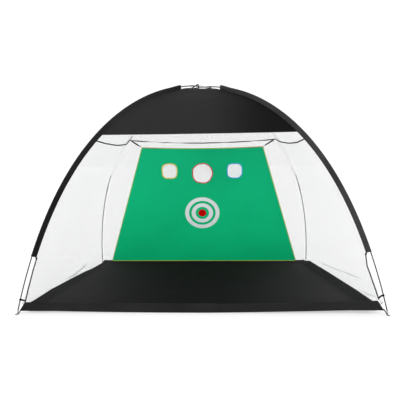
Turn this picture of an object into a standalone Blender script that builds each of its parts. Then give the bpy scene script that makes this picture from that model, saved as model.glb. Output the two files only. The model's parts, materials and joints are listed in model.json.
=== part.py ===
"""Golf chipping net: a free-standing dome net on two crossed, shock-corded poles.

The poles run corner to corner and cross at the crown. Sleeves on the legs carry a
black visor over the mouth and white nets on the roof, the sides and the back. A green
target sheet with three ball pockets leans inside the back, hinged at its sewn lower
edge and held at the top by two ties with an eye on a toggle.

Metres, +Z up, +Y away from the mouth, origin on the ground under the middle.
"""

import math

import bmesh
import bpy
import numpy as np
from mathutils import Matrix, Vector

# Footprint and poles. Each pole runs from a front foot to the opposite rear foot.
FRONT_WIDTH = 3.000
REAR_WIDTH = 2.420
DEPTH = 1.500
CROWN_HEIGHT = 1.924
FRONT_CROWN_HANDLE = 0.444
FRONT_FOOT_HANDLE = (0.418, 1.687)
REAR_CROWN_HANDLE = 0.480
REAR_FOOT_HANDLE = (-0.046, 1.430)
POLE_DIAMETER = 0.0095
POLE_BORE = 0.0055
SECTIONS_PER_POLE = 6
FERRULE_WALL = 0.0010
FERRULE_GRIP = 0.040
FERRULE_SOCKET = 0.050
SHOCK_CORD_DIAMETER = 0.0025

# Clearances: between pieces that touch, and between a socket and what slides in it.
GAP = 0.0003
SECTION_GAP = 0.0006

# Pole tips, grommets and the webbing tabs at the four corners.
TIP_PIN_RADIUS = 0.0020
TIP_CUP_DEPTH = 0.028
TIP_CUP_FLOOR = 0.004
GROMMET_BORE_RADIUS = 0.0038
GROMMET_BARREL_RADIUS = 0.0052
GROMMET_FLANGE_RADIUS = 0.0085
GROMMET_FLANGE = 0.0008
TAB_WIDTH = 0.025
TAB_THICKNESS = 0.0010
TAB_OVERHANG = 0.015

# Sleeves: a loose tube round the pole, drawn in to a seam on the inner side.
SLEEVE_WALL = 0.0010
SEAM_HALF_WIDTH = 0.0020
BINDING_DEPTH = 0.008
SLEEVE_WAIST = 0.75
CROWN_OPENING = 0.215
FRONT_SLEEVE_END_HEIGHT = 0.478
REAR_SLEEVE_START = 0.100
REAR_SLEEVE_END_HEIGHT = 1.045
FRONT_SEAM_DEPTHS = ((0.0, 0.030), (0.20, 0.033), (0.90, 0.039), (2.30, 0.037))
REAR_SEAM_DEPTHS = ((0.0, 0.030),)

# Nets and cloth.
NET_THICKNESS = 0.0012
PANEL_START = 0.032
PANEL_SETBACK = 0.0011
PANEL_SPREAD = 0.0013
FRONT_SEAM_HEIGHT = 1.405
REAR_SEAM_HEIGHT = 1.431
SEAM_CORD_DIAMETER = 0.006
SIDE_DROOP = 0.047
REAR_DROOP = 0.035
NET_FOLD_DEPTH = 0.016
NET_FOLD_WAVES = 3
VISOR_EDGE_HEIGHT = 1.466
VISOR_SAG = 0.012
FLOOR_THICKNESS = 0.0008
SILL_HEIGHT = 0.077
SILL_WAVE = 0.004
SILL_WAVES = 7
CROWN_PATCH_SIZE = (0.100, 0.064)
CROWN_TIE_WIDTH = 0.016
CROWN_TIE_THICKNESS = 0.0012
CROWN_ARCH_RISE = 0.62
CROWN_ARCH_SPRING = 0.50
CORNER_STRAP_HEIGHT = 0.135
CORNER_STRAP_WIDTH = 0.020
CORNER_STRAP_WALL = 0.0030

# Target sheet, in its own plane: x across, v up the slope from its hinge.
TARGET_BOTTOM_WIDTH = 2.180
TARGET_TOP_WIDTH = 1.310
TARGET_SLOPE = 1.369
TARGET_LEAN = math.radians(9.67)
TARGET_TOP_DIP = 0.015
TARGET_CORNER_RADIUS = 0.018
TARGET_THICKNESS = 0.0012
TARGET_SETBACK = 0.012
PIPING_DIAMETER = 0.008
RIM_TUBE_RADIUS = 0.008
SIDE_POCKET_SPACING = 0.725
SIDE_POCKET_HEIGHT = 1.105
SIDE_POCKET_RADIUS = 0.093
CENTRE_POCKET_HEIGHT = 1.078
CENTRE_POCKET_RADIUS = 0.117
POCKET_DEPTH = 0.045
POCKET_SAG = 0.022
TIE_WIDTH = 0.014
TIE_THICKNESS = 0.0030
TOGGLE_RADIUS = 0.0030
TOGGLE_LENGTH = 0.048
TOGGLE_NOSE_RADIUS = 0.0018
TOGGLE_INSET = 0.022
TOGGLE_SLACK = 0.0006

# Fineness of the meshes.
CURVE_SAMPLES = 600
ROOF_STATIONS = 8
WALL_STATIONS = 10
PANEL_COLUMNS = 12
TUBE_SIDES = 8
SHOCK_CORD_SIDES = 6
ROUND_STEPS = 24
POCKET_ROWS = 6
ARCH_STEPS = 10
CORNER_STEPS = 4
CORNER_LIMIT = -0.9
SAME_STATION = 1e-6
SMOOTH_ANGLE = math.radians(40)

# Sizes that follow from those above.
POLE_RADIUS = POLE_DIAMETER / 2
FERRULE_BORE_RADIUS = POLE_RADIUS + GAP
FERRULE_RADIUS = FERRULE_BORE_RADIUS + FERRULE_WALL
TAB_BASE = max(FLOOR_THICKNESS, GROMMET_FLANGE) + GAP
GROMMET_HEIGHT = TAB_BASE + TAB_THICKNESS + GAP + GROMMET_FLANGE
NET_BASE = FLOOR_THICKNESS + GAP + NET_THICKNESS / 2
CROSSING_Y = DEPTH * FRONT_WIDTH / (FRONT_WIDTH + REAR_WIDTH) - DEPTH / 2
CROWN = Vector((0.0, CROSSING_Y, CROWN_HEIGHT))
UP = Vector((0.0, 0.0, 1.0))

MATERIALS = {
    "pole_grey": ((0.30, 0.30, 0.31), 0.45, 0.0),
    "tip_metal": ((0.55, 0.55, 0.56), 0.35, 1.0),
    "eyelet_metal": ((0.60, 0.58, 0.52), 0.35, 1.0),
    "elastic_white": ((0.80, 0.80, 0.78), 0.80, 0.0),
    "black_cloth": ((0.030, 0.030, 0.031), 0.75, 0.0),
    "black_webbing": ((0.025, 0.025, 0.025), 0.80, 0.0),
    "white_cloth": ((0.85, 0.85, 0.86), 0.70, 0.0),
    "white_net": ((0.86, 0.86, 0.88), 0.70, 0.0),
    "target_green": ((0.010, 0.38, 0.16), 0.60, 0.0),
    "lime_piping": ((0.55, 0.75, 0.08), 0.60, 0.0),
    "yellow_rim": ((0.85, 0.72, 0.05), 0.60, 0.0),
    "red_rim": ((0.75, 0.03, 0.05), 0.60, 0.0),
    "blue_rim": ((0.03, 0.16, 0.62), 0.60, 0.0),
    "toggle_black": ((0.020, 0.020, 0.020), 0.40, 0.0),
}


# ---------------------------------------------------------------- scene and materials


def clear_scene():
    for item in list(bpy.data.objects):
        bpy.data.objects.remove(item, do_unlink=True)


def new_collection(name):
    collection = bpy.data.collections.new(name)
    bpy.context.scene.collection.children.link(collection)
    return collection


def material(name):
    found = bpy.data.materials.get(name)
    if found:
        return found
    colour, roughness, metallic = MATERIALS[name]
    made = bpy.data.materials.new(name)
    made.use_nodes = True
    shader = made.node_tree.nodes["Principled BSDF"]
    shader.inputs["Base Color"].default_value = (*colour, 1.0)
    shader.inputs["Roughness"].default_value = roughness
    shader.inputs["Metallic"].default_value = metallic
    return made


def add(collection, name, data, material_name, matrix=None):
    """Link a mesh or curve as the named object, with its material."""
    item = bpy.data.objects.new(name, data)
    data.materials.append(material(material_name))
    if matrix is not None:
        item.matrix_world = matrix
    collection.objects.link(item)
    return item


def smooth(mesh):
    mesh.shade_smooth()
    mesh.set_sharp_from_angle(angle=SMOOTH_ANGLE)


def thicken(item, thickness, offset=0.0):
    modifier = item.modifiers.new("Solidify", "SOLIDIFY")
    modifier.thickness = thickness
    modifier.offset = offset
    modifier.use_even_offset = True


def frame(origin, x_axis, z_axis):
    """Matrix at the origin with +Z along z_axis and +X as near x_axis as it can be."""
    z = z_axis.normalized()
    y = z.cross(x_axis).normalized()
    x = y.cross(z)
    matrix = Matrix((x, y, z)).transposed().to_4x4()
    matrix.translation = origin
    return matrix


# ---------------------------------------------------------------- the bent poles


def leg_profile(span, height, crown_handle, foot_handle):
    """Dense (reach, height) points of one leg, from the crown down to its foot."""
    t = np.linspace(0.0, 1.0, CURVE_SAMPLES)[:, None]
    start = np.array((0.0, height))
    leave = np.array((crown_handle, height))
    arrive = np.array((span - foot_handle[0], foot_handle[1]))
    foot = np.array((span, 0.0))
    s = 1.0 - t
    return s**3 * start + 3 * s * s * t * leave + 3 * s * t * t * arrive + t**3 * foot


class Leg:
    """Half a pole: its centreline, and offsets from it in and across its plane.

    Distances along a leg start at the crossing. Every piece on the leg reads the same
    straight runs between its stations, so pieces inside each other keep their gaps.
    """

    def __init__(self, foot, height, crown_handle, foot_handle, seam_depths, seam_height):
        plan = Vector((foot[0], foot[1] - CROSSING_Y, 0.0))
        self.outward = plan.normalized()
        self.across = UP.cross(self.outward)
        self.seam_depths = seam_depths
        self.seam_height = seam_height
        profile = leg_profile(plan.length, height, crown_handle, foot_handle)
        steps = np.linalg.norm(np.diff(profile, axis=0), axis=1)
        dense = np.concatenate(([0.0], np.cumsum(steps)))
        seam_stop = np.interp(-seam_height, -profile[:, 1], dense)
        roof = np.linspace(0.0, seam_stop, ROOF_STATIONS + 1)
        wall = np.linspace(seam_stop, dense[-1], WALL_STATIONS + 1)
        self.stations = np.concatenate((roof, wall[1:]))
        self.length = dense[-1]
        self.reach = np.interp(self.stations, dense, profile[:, 0])
        self.height = np.interp(self.stations, dense, profile[:, 1])
        self._find_normals()

    def _find_normals(self):
        slopes = np.arctan2(np.diff(self.height), np.diff(self.reach))
        middle = (slopes[1:] + slopes[:-1]) / 2
        bends = np.concatenate(([0.0], middle, slopes[-1:]))
        self.normal_reach = -np.sin(bends)
        self.normal_height = np.cos(bends)
        self.foot_slope = slopes[-1]

    def _read(self, values, distance):
        return float(np.interp(distance, self.stations, values))

    def point(self, distance, inward=0.0, sideways=0.0):
        """A point on the leg, moved inward in its plane and sideways out of it."""
        reach = self._read(self.reach, distance)
        height = self._read(self.height, distance)
        reach -= inward * self._read(self.normal_reach, distance)
        height -= inward * self._read(self.normal_height, distance)
        plan = Vector((0.0, CROSSING_Y, 0.0)) + self.outward * reach
        return plan + self.across * sideways + UP * height

    def normal(self, distance):
        reach = self._read(self.normal_reach, distance)
        height = self._read(self.normal_height, distance)
        return (self.outward * reach + UP * height).normalized()

    def seam_depth(self, distance):
        places, depths = zip(*self.seam_depths)
        return float(np.interp(distance, places, depths))

    def seam(self, distance, beyond=0.0, sideways=0.0):
        """A point on the sleeve's inner seam, or beyond it into the tent."""
        return self.point(distance, self.seam_depth(distance) + beyond, sideways)

    def distance_at(self, height):
        """Distance down the leg at which its centreline is at this height."""
        return float(np.interp(-height, -self.height, self.stations))

    def seam_distance_at(self, height):
        """Distance down the leg at which its seam is at this height."""
        seam_heights = [self.seam(s).z for s in self.stations]
        return float(np.interp(-height, -np.array(seam_heights), self.stations))

    def eave_distance(self):
        """Distance down the leg at which the seam cord meets it."""
        return self.seam_distance_at(self.seam_height)

    def stops(self, start, end):
        """Start, end and the stations between them."""
        inner = [s for s in self.stations if start + SAME_STATION < s < end - SAME_STATION]
        return [start, *inner, end]

    def ground(self):
        return self.point(self.length)

    def foot_direction(self):
        """Unit vector up the leg from its foot."""
        run = math.cos(self.foot_slope)
        rise = math.sin(self.foot_slope)
        return -(self.outward * run + UP * rise)

    def tip_shoulder(self):
        """Length of the tip below its cup, so the tilted cup clears the grommet."""
        tilt = math.acos(min(1.0, self.foot_direction().z))
        drop = FERRULE_RADIUS * math.sin(tilt)
        return (GROMMET_HEIGHT + GAP + drop) / math.cos(tilt)

    def pole_end(self):
        """Distance at which the pole itself ends, inside its tip."""
        return self.length - self.tip_shoulder() - TIP_CUP_FLOOR - GAP


class Pole:
    """One whole pole: a front leg and the opposite rear leg, measured from the front."""

    def __init__(self, front, rear):
        self.front = front
        self.rear = rear
        self.crossing = front.length
        self.start = front.length - front.pole_end()
        self.end = front.length + rear.pole_end()

    def _leg(self, distance):
        if distance < self.crossing:
            return self.front, self.crossing - distance
        return self.rear, distance - self.crossing

    def point(self, distance, radius=0.0, angle=0.0):
        leg, along = self._leg(distance)
        sign = -1.0 if leg is self.front else 1.0
        inward = -radius * math.cos(angle)
        return leg.point(along, inward, sign * radius * math.sin(angle))

    def stops(self, start, end):
        """Start, end and every station of either leg between them."""
        front = [self.crossing - s for s in self.front.stations[::-1]]
        rear = [self.crossing + s for s in self.rear.stations[1:]]
        low, high = min(start, end), max(start, end)
        inner = [s for s in front + rear if low + SAME_STATION < s < high - SAME_STATION]
        if start > end:
            inner.reverse()
        return [start, *inner, end]


def make_legs():
    half_front = FRONT_WIDTH / 2
    half_rear = REAR_WIDTH / 2
    half_depth = DEPTH / 2
    lift = POLE_RADIUS + GAP / 2
    front_shape = (FRONT_CROWN_HANDLE, FRONT_FOOT_HANDLE, FRONT_SEAM_DEPTHS, FRONT_SEAM_HEIGHT)
    rear_shape = (REAR_CROWN_HANDLE, REAR_FOOT_HANDLE, REAR_SEAM_DEPTHS, REAR_SEAM_HEIGHT)
    over = CROWN_HEIGHT + lift
    under = CROWN_HEIGHT - lift
    return {
        "front_left": Leg((-half_front, -half_depth), over, *front_shape),
        "rear_right": Leg((half_rear, half_depth), over, *rear_shape),
        "front_right": Leg((half_front, -half_depth), under, *front_shape),
        "rear_left": Leg((-half_rear, half_depth), under, *rear_shape),
    }


# ---------------------------------------------------------------- mesh makers


def skin_rings(bm, rings, closed_path=False):
    """Quads between rings of points, each ring closed on itself."""
    rows = [[bm.verts.new(point) for point in ring] for ring in rings]
    pairs = list(zip(rows, rows[1:]))
    if closed_path:
        pairs.append((rows[-1], rows[0]))
    for first, second in pairs:
        count = len(first)
        for i in range(count):
            j = (i + 1) % count
            bm.faces.new((first[i], first[j], second[j], second[i]))
    return rows


def finish_mesh(name, bm):
    bmesh.ops.recalc_face_normals(bm, faces=bm.faces)
    mesh = bpy.data.meshes.new(name)
    bm.to_mesh(mesh)
    bm.free()
    return mesh


def turned_along(name, pole, profile, sides=TUBE_SIDES, closed=True):
    """A round shape turned about the bent pole: profile holds (distance, radius)."""
    pairs = list(zip(profile, profile[1:]))
    if closed:
        pairs.append((profile[-1], profile[0]))
    rings = []
    for (start, start_radius), (end, end_radius) in pairs:
        for stop in pole.stops(start, end)[:-1]:
            share = (stop - start) / (end - start) if end != start else 0.0
            radius = start_radius + (end_radius - start_radius) * share
            rings.append(ring_about(pole, stop, radius, sides))
    if not closed:
        rings.append(ring_about(pole, profile[-1][0], profile[-1][1], sides))
    bm = bmesh.new()
    rows = skin_rings(bm, rings, closed_path=closed)
    if not closed:
        bm.faces.new(rows[0])
        bm.faces.new(rows[-1])
    mesh = finish_mesh(name, bm)
    smooth(mesh)
    return mesh


def ring_about(pole, distance, radius, sides):
    turns = [2 * math.pi * (i + 0.5) / sides for i in range(sides)]
    return [pole.point(distance, radius, angle) for angle in turns]


def grid_panel(name, columns, rows, place):
    """An open grid whose point at (u, v), both 0 to 1, is place(u, v)."""
    bm = bmesh.new()
    bmesh.ops.create_grid(bm, x_segments=columns, y_segments=rows, size=0.5)
    for vertex in bm.verts:
        vertex.co = place(vertex.co.x + 0.5, vertex.co.y + 0.5)
    mesh = finish_mesh(name, bm)
    smooth(mesh)
    return mesh


def revolve(name, profile, closed=False):
    """An open or closed (radius, height) profile, for a Screw modifier to turn."""
    mesh = bpy.data.meshes.new(name)
    points = [(radius, 0.0, height) for radius, height in profile]
    edges = [(i, i + 1) for i in range(len(points) - 1)]
    if closed:
        edges.append((len(points) - 1, 0))
    mesh.from_pydata(points, edges, [])
    return mesh


def add_screw(item, steps=2 * TUBE_SIDES):
    modifier = item.modifiers.new("Screw", "SCREW")
    modifier.axis = "Z"
    modifier.steps = steps
    modifier.render_steps = steps
    modifier.use_merge_vertices = True
    modifier.merge_threshold = 0.00001
    modifier.use_smooth_shade = True


def flat_outline(name, outlines, thickness):
    """A flat plate from closed outlines, the later ones being its holes."""
    curve = bpy.data.curves.new(name, "CURVE")
    curve.dimensions = "2D"
    curve.fill_mode = "BOTH"
    curve.extrude = thickness / 2
    for outline in outlines:
        add_spline(curve, [(x, y, 0.0) for x, y in outline], cyclic=True)
    return curve


def add_spline(curve, points, cyclic=False):
    spline = curve.splines.new("POLY")
    spline.points.add(len(points) - 1)
    for target, point in zip(spline.points, points):
        target.co = (*point, 1.0)
    spline.use_cyclic_u = cyclic


def cord_curve(name, points, diameter, cyclic=False):
    curve = bpy.data.curves.new(name, "CURVE")
    curve.dimensions = "3D"
    curve.twist_mode = "Z_UP"
    curve.bevel_depth = diameter / 2
    curve.bevel_resolution = 2
    curve.use_fill_caps = not cyclic
    add_spline(curve, points, cyclic)
    return curve


def arc(centre, radius, start, end, steps):
    """Points of an arc in a plane, its angles in radians, both ends included."""
    angles = [start + (end - start) * i / steps for i in range(steps + 1)]
    x, y = centre
    return [(x + radius * math.cos(a), y + radius * math.sin(a)) for a in angles]


def circle(centre, radius, steps=ROUND_STEPS):
    return arc(centre, radius, 0.0, 2 * math.pi * (1 - 1 / steps), steps - 1)


# ---------------------------------------------------------------- poles and their ends


def make_pole_sections(parts, side, pole):
    """Hollow sections, each with a ferrule that holds the start of the next one."""
    length = (pole.end - pole.start) / SECTIONS_PER_POLE
    for number in range(1, SECTIONS_PER_POLE + 1):
        start = pole.start + (number - 1) * length
        end = start + length - SECTION_GAP
        profile = [(start, POLE_BORE / 2), (start, POLE_RADIUS)]
        if number < SECTIONS_PER_POLE:
            mouth = end + FERRULE_SOCKET
            profile += [
                (end - FERRULE_GRIP, POLE_RADIUS),
                (end - FERRULE_GRIP, FERRULE_RADIUS),
                (mouth, FERRULE_RADIUS),
                (mouth, FERRULE_BORE_RADIUS),
                (end, FERRULE_BORE_RADIUS),
            ]
        else:
            profile += [(end, POLE_RADIUS)]
        profile += [(end, POLE_BORE / 2)]
        name = f"{side}_pole_section_{number}"
        add(parts, name, turned_along(name, pole, profile), "pole_grey")


def make_shock_cord(parts, side, pole):
    name = f"{side}_shock_cord"
    radius = SHOCK_CORD_DIAMETER / 2
    profile = [(pole.start + GAP, radius), (pole.end - GAP, radius)]
    mesh = turned_along(name, pole, profile, SHOCK_CORD_SIDES, closed=False)
    add(parts, name, mesh, "elastic_white")


def make_tip(parts, corner, leg):
    """A turned cup on the pole's end, with the pin that stands in the grommet."""
    name = f"{corner}_tip"
    upward = leg.foot_direction()
    tilt = math.acos(min(1.0, upward.z))
    pin_base = GAP + TIP_PIN_RADIUS * math.sin(tilt)
    shoulder = leg.tip_shoulder()
    bore_floor = shoulder + TIP_CUP_FLOOR
    rim = bore_floor + TIP_CUP_DEPTH
    profile = [
        (0.0, bore_floor),
        (FERRULE_BORE_RADIUS, bore_floor),
        (FERRULE_BORE_RADIUS, rim),
        (FERRULE_RADIUS, rim),
        (FERRULE_RADIUS, shoulder),
        (TIP_PIN_RADIUS, shoulder),
        (TIP_PIN_RADIUS, pin_base),
        (0.0, pin_base),
    ]
    matrix = frame(leg.ground(), leg.across, upward)
    item = add(parts, name, revolve(name, profile), "tip_metal", matrix)
    add_screw(item)


def make_grommet(parts, corner, leg):
    name = f"{corner}_grommet"
    top = GROMMET_HEIGHT
    profile = [
        (GROMMET_BORE_RADIUS, 0.0),
        (GROMMET_BORE_RADIUS, top),
        (GROMMET_FLANGE_RADIUS, top),
        (GROMMET_FLANGE_RADIUS, top - GROMMET_FLANGE),
        (GROMMET_BARREL_RADIUS, top - GROMMET_FLANGE),
        (GROMMET_BARREL_RADIUS, GROMMET_FLANGE),
        (GROMMET_FLANGE_RADIUS, GROMMET_FLANGE),
        (GROMMET_FLANGE_RADIUS, 0.0),
    ]
    mesh = revolve(name, profile, closed=True)
    item = add(parts, name, mesh, "eyelet_metal", Matrix.Translation(leg.ground()))
    add_screw(item)


def make_tab(parts, corner, leg):
    """A webbing strip from the floor's corner to the grommet round the pole's tip."""
    name = f"{corner}_tab"
    half = TAB_WIDTH / 2
    inner = GAP - (leg.ground() - floor_corner(leg)).length
    nose = arc((TAB_OVERHANG - half, 0.0), half, -math.pi / 2, math.pi / 2, TUBE_SIDES)
    outline = [(inner, -half), *nose, (inner, half)]
    hole = circle((0.0, 0.0), GROMMET_BARREL_RADIUS + GAP, 2 * TUBE_SIDES)
    curve = flat_outline(name, [outline, hole], TAB_THICKNESS)
    height = UP * (TAB_BASE + TAB_THICKNESS / 2)
    matrix = frame(leg.ground() + height, leg.outward, UP)
    add(parts, name, curve, "black_webbing", matrix)


# ---------------------------------------------------------------- sleeves and bindings


def sleeve_section(leg, distance):
    """Teardrop ring: round over the pole, drawn in to the flat seam on the inside."""
    radius = FERRULE_RADIUS + GAP + SLEEVE_WALL
    depth = leg.seam_depth(distance)
    step = math.pi / TUBE_SIDES
    turns = [step * (2 * i + 1) for i in range(-TUBE_SIDES // 4 - 1, TUBE_SIDES // 4 + 1)]
    over = [(-radius * math.cos(a), radius * math.sin(a)) for a in turns]
    waist = (depth / 2, radius * SLEEVE_WAIST)
    seam = (depth, SEAM_HALF_WIDTH)
    half = [waist, seam]
    other = [(inward, -sideways) for inward, sideways in reversed(half)]
    return [leg.point(distance, *place) for place in over + half + other]


def make_sleeve(parts, corner, leg, start, end, material_name):
    name = f"{corner}_sleeve"
    bm = bmesh.new()
    skin_rings(bm, [sleeve_section(leg, stop) for stop in leg.stops(start, end)])
    mesh = finish_mesh(name, bm)
    smooth(mesh)
    item = add(parts, name, mesh, material_name)
    thicken(item, SLEEVE_WALL, offset=-1.0)


def make_binding(parts, corner, leg, start, end):
    """The tape folded round the net's free edge, below the front sleeve."""
    name = f"{corner}_binding"
    half = SEAM_HALF_WIDTH
    depth = -BINDING_DEPTH
    corners = [(0.0, -half), (0.0, half), (depth, half), (depth, -half)]
    rings = []
    for stop in leg.stops(start, end):
        rings.append([leg.seam(stop, beyond, across) for beyond, across in corners])
    bm = bmesh.new()
    rows = skin_rings(bm, rings)
    bm.faces.new(rows[0])
    bm.faces.new(rows[-1])
    add(parts, name, finish_mesh(name, bm), "black_webbing")


def make_corner_strap(parts, corner, leg):
    """A webbing lug: a loop round the pole and a tail to the binding."""
    name = f"{corner}_strap"
    distance = leg.distance_at(CORNER_STRAP_HEIGHT)
    hole_radius = FERRULE_RADIUS + GAP
    loop_radius = hole_radius + CORNER_STRAP_WALL
    half = CORNER_STRAP_WALL / 2
    tail = leg.seam_depth(distance) - BINDING_DEPTH - GAP
    spread = math.asin(half / loop_radius)
    loop = arc((0.0, 0.0), loop_radius, spread, 2 * math.pi - spread, ROUND_STEPS)
    outline = [(tail, half), *loop, (tail, -half)]
    hole = circle((0.0, 0.0), hole_radius, 2 * TUBE_SIDES)
    curve = flat_outline(name, [outline, hole], CORNER_STRAP_WIDTH)
    along = leg.point(distance + GAP) - leg.point(distance - GAP)
    matrix = frame(leg.point(distance), -leg.normal(distance), along)
    add(parts, name, curve, "black_webbing", matrix)


# ---------------------------------------------------------------- nets, visor and floor


def edge_point(leg, distance, toward):
    """Where a panel's edge lies: just past the seam, on its own side of the leg."""
    side = math.copysign(PANEL_SPREAD, leg.across.dot(toward))
    return leg.seam(distance, PANEL_SETBACK, side)


def span_panel(first, second, first_stops, second_stops, bend=None):
    """place(u, v) for a panel hung between two legs, rows read from their stops."""
    toward = second.ground() - first.ground()
    last = len(first_stops) - 1

    def place(u, v):
        row = min(last, max(0, round(v * last)))
        near = edge_point(first, first_stops[row], toward)
        far = edge_point(second, second_stops[row], -toward)
        point = near.lerp(far, u)
        return point if bend is None else point + bend(u, v)

    return place, last


def seam_line(first, second, droop):
    """The drooping line of the cord between two legs, as a function of u."""
    toward = second.ground() - first.ground()
    near = edge_point(first, first.eave_distance(), toward)
    far = edge_point(second, second.eave_distance(), -toward)
    return lambda u: near.lerp(far, u) - UP * (4 * droop * u * (1 - u))


def beside_cord(leg, toward, below):
    """Distance down a leg at which a net's edge just clears the seam cord."""
    corner = leg.eave_distance()
    run = leg.seam(corner + GAP) - leg.seam(corner - GAP)
    slant = run.normalized().cross(toward.normalized()).length
    clearance = SEAM_CORD_DIAMETER / 2 + GAP + NET_THICKNESS / 4
    return corner + (clearance if below else -clearance) / slant


def make_roof_net(parts, name, first, second, droop):
    toward = second.ground() - first.ground()
    first_stops = roof_stops(first, beside_cord(first, toward, below=False))
    second_stops = roof_stops(second, beside_cord(second, toward, below=False))

    def bend(u, v):
        return -UP * (4 * droop * u * (1 - u) * v * v)

    place, rows = span_panel(first, second, first_stops, second_stops, bend)
    item = add(parts, name, grid_panel(name, PANEL_COLUMNS, rows, place), "white_net")
    thicken(item, NET_THICKNESS)


def roof_stops(leg, end):
    """The roof's rows on a leg: its stations from the crown to the seam cord."""
    return [PANEL_START, *leg.stations[1:ROOF_STATIONS], end]


def wall_stops(leg, start):
    """The wall's rows on a leg: its stations from the seam cord to the floor."""
    end = leg.seam_distance_at(NET_BASE)
    return [start, *leg.stations[ROOF_STATIONS + 1 : -1], end]


def make_wall_net(parts, name, first, second, droop, folds):
    toward = second.ground() - first.ground()
    first_stops = wall_stops(first, beside_cord(first, toward, below=True))
    second_stops = wall_stops(second, beside_cord(second, toward, below=True))
    inside = (CROWN - (first.ground() + second.ground()) / 2) * Vector((1, 1, 0))
    inside.normalize()

    def bend(u, v):
        drop = 4 * droop * u * (1 - u) * (1 - v) ** 2
        wave = math.sin(math.pi * NET_FOLD_WAVES * u) ** 2 * v * v
        return inside * (folds * wave) - UP * drop

    place, rows = span_panel(first, second, first_stops, second_stops, bend)
    item = add(parts, name, grid_panel(name, PANEL_COLUMNS, rows, place), "white_net")
    thicken(item, NET_THICKNESS)


def make_seam_cord(parts, name, first, second, droop):
    line = seam_line(first, second, droop)
    points = [line(i / PANEL_COLUMNS) for i in range(PANEL_COLUMNS + 1)]
    points[0] += (points[1] - points[0]).normalized() * SEAM_CORD_DIAMETER
    points[-1] += (points[-2] - points[-1]).normalized() * SEAM_CORD_DIAMETER
    add(parts, name, cord_curve(name, points, SEAM_CORD_DIAMETER), "black_webbing")


def make_visor(parts, left, right):
    """The black panel over the mouth, from the crown to a straight hem."""
    name = "visor"
    left_end = left.seam_distance_at(VISOR_EDGE_HEIGHT)
    right_end = right.seam_distance_at(VISOR_EDGE_HEIGHT)
    left_stops = roof_stops(left, left_end)
    right_stops = roof_stops(right, right_end)
    first_row = 1 / ROOF_STATIONS

    def bend(u, v):
        slack = max(0.0, v - first_row) * (1 - v)
        return -UP * (16 * VISOR_SAG * slack * u * (1 - u))

    place, rows = span_panel(left, right, left_stops, right_stops, bend)
    item = add(parts, name, grid_panel(name, PANEL_COLUMNS, rows, place), "black_cloth")
    thicken(item, NET_THICKNESS)


def floor_corner(leg):
    """The floor's corner, straight under the leg's seam."""
    corner = leg.seam(leg.seam_distance_at(NET_BASE))
    corner.z = 0.0
    return corner


def make_floor(parts, legs):
    name = "floor_sheet"
    front_left = floor_corner(legs["front_left"])
    front_right = floor_corner(legs["front_right"])
    rear_left = floor_corner(legs["rear_left"])
    rear_right = floor_corner(legs["rear_right"])

    def place(u, v):
        return front_left.lerp(front_right, u).lerp(rear_left.lerp(rear_right, u), v)

    mesh = grid_panel(name, PANEL_COLUMNS, WALL_STATIONS, place)
    item = add(parts, name, mesh, "black_cloth")
    thicken(item, FLOOR_THICKNESS, offset=1.0)


def make_sill(parts, left, right):
    """The floor's front edge, standing up across the mouth as a ball stop."""
    name = "front_sill"
    toward = right.ground() - left.ground()

    def place(u, v):
        height = NET_BASE + (SILL_HEIGHT - NET_BASE) * v
        near = edge_point(left, left.seam_distance_at(height), toward)
        far = edge_point(right, right.seam_distance_at(height), -toward)
        wave = SILL_WAVE * v * (1 - math.cos(2 * math.pi * SILL_WAVES * u)) / 2
        return near.lerp(far, u) + Vector((0.0, wave, 0.0))

    mesh = grid_panel(name, 4 * SILL_WAVES, 2, place)
    item = add(parts, name, mesh, "black_cloth")
    thicken(item, NET_THICKNESS)


def make_crown(parts, legs):
    """The patch that joins the roof's panels, and the tie that holds it to the poles."""
    reach = math.hypot(*CROWN_PATCH_SIZE) / 2
    lowest = min(leg.seam(reach, PANEL_SETBACK).z for leg in legs.values())
    top = lowest - NET_THICKNESS - GAP
    half_x, half_y = (size / 2 for size in CROWN_PATCH_SIZE)
    outline = [(-half_x, -half_y), (half_x, -half_y), (half_x, half_y), (-half_x, half_y)]
    patch = flat_outline("crown_patch", [outline], NET_THICKNESS)
    centre = Vector((0.0, CROSSING_Y, top - NET_THICKNESS / 2))
    add(parts, "crown_patch", patch, "black_cloth", Matrix.Translation(centre))
    make_crown_tie(parts, legs, top)


def make_crown_tie(parts, legs, patch_top):
    """An arch of tape over both poles, its ends on the patch."""
    name = "crown_tie"
    along = legs["front_right"].outward
    spread = (POLE_RADIUS + CROWN_TIE_WIDTH / 2 * abs(along.y)) / abs(along.x)
    inner = spread + GAP
    outer = inner + CROWN_TIE_THICKNESS
    poles_top = CROWN_HEIGHT + POLE_DIAMETER + GAP / 2
    spring = poles_top + GAP - inner * CROWN_ARCH_SPRING
    base = patch_top + GAP
    rise = inner * CROWN_ARCH_RISE
    inside = arch(inner, rise, spring)
    outside = arch(outer, rise + CROWN_TIE_THICKNESS, spring)
    outline = [(inner, base), *inside, (-inner, base), (-outer, base)]
    outline += [*reversed(outside), (outer, base)]
    curve = flat_outline(name, [outline], CROWN_TIE_WIDTH)
    matrix = frame(Vector((0.0, CROSSING_Y, 0.0)), Vector((0, 1, 0)), Vector((1, 0, 0)))
    add(parts, name, curve, "black_webbing", matrix)


def arch(half_width, rise, base):
    """Points of half an oval, from its right foot over to its left one."""
    turns = [math.pi * i / ARCH_STEPS for i in range(ARCH_STEPS + 1)]
    return [(half_width * math.cos(a), base + rise * math.sin(a)) for a in turns]


# ---------------------------------------------------------------- target sheet


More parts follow.
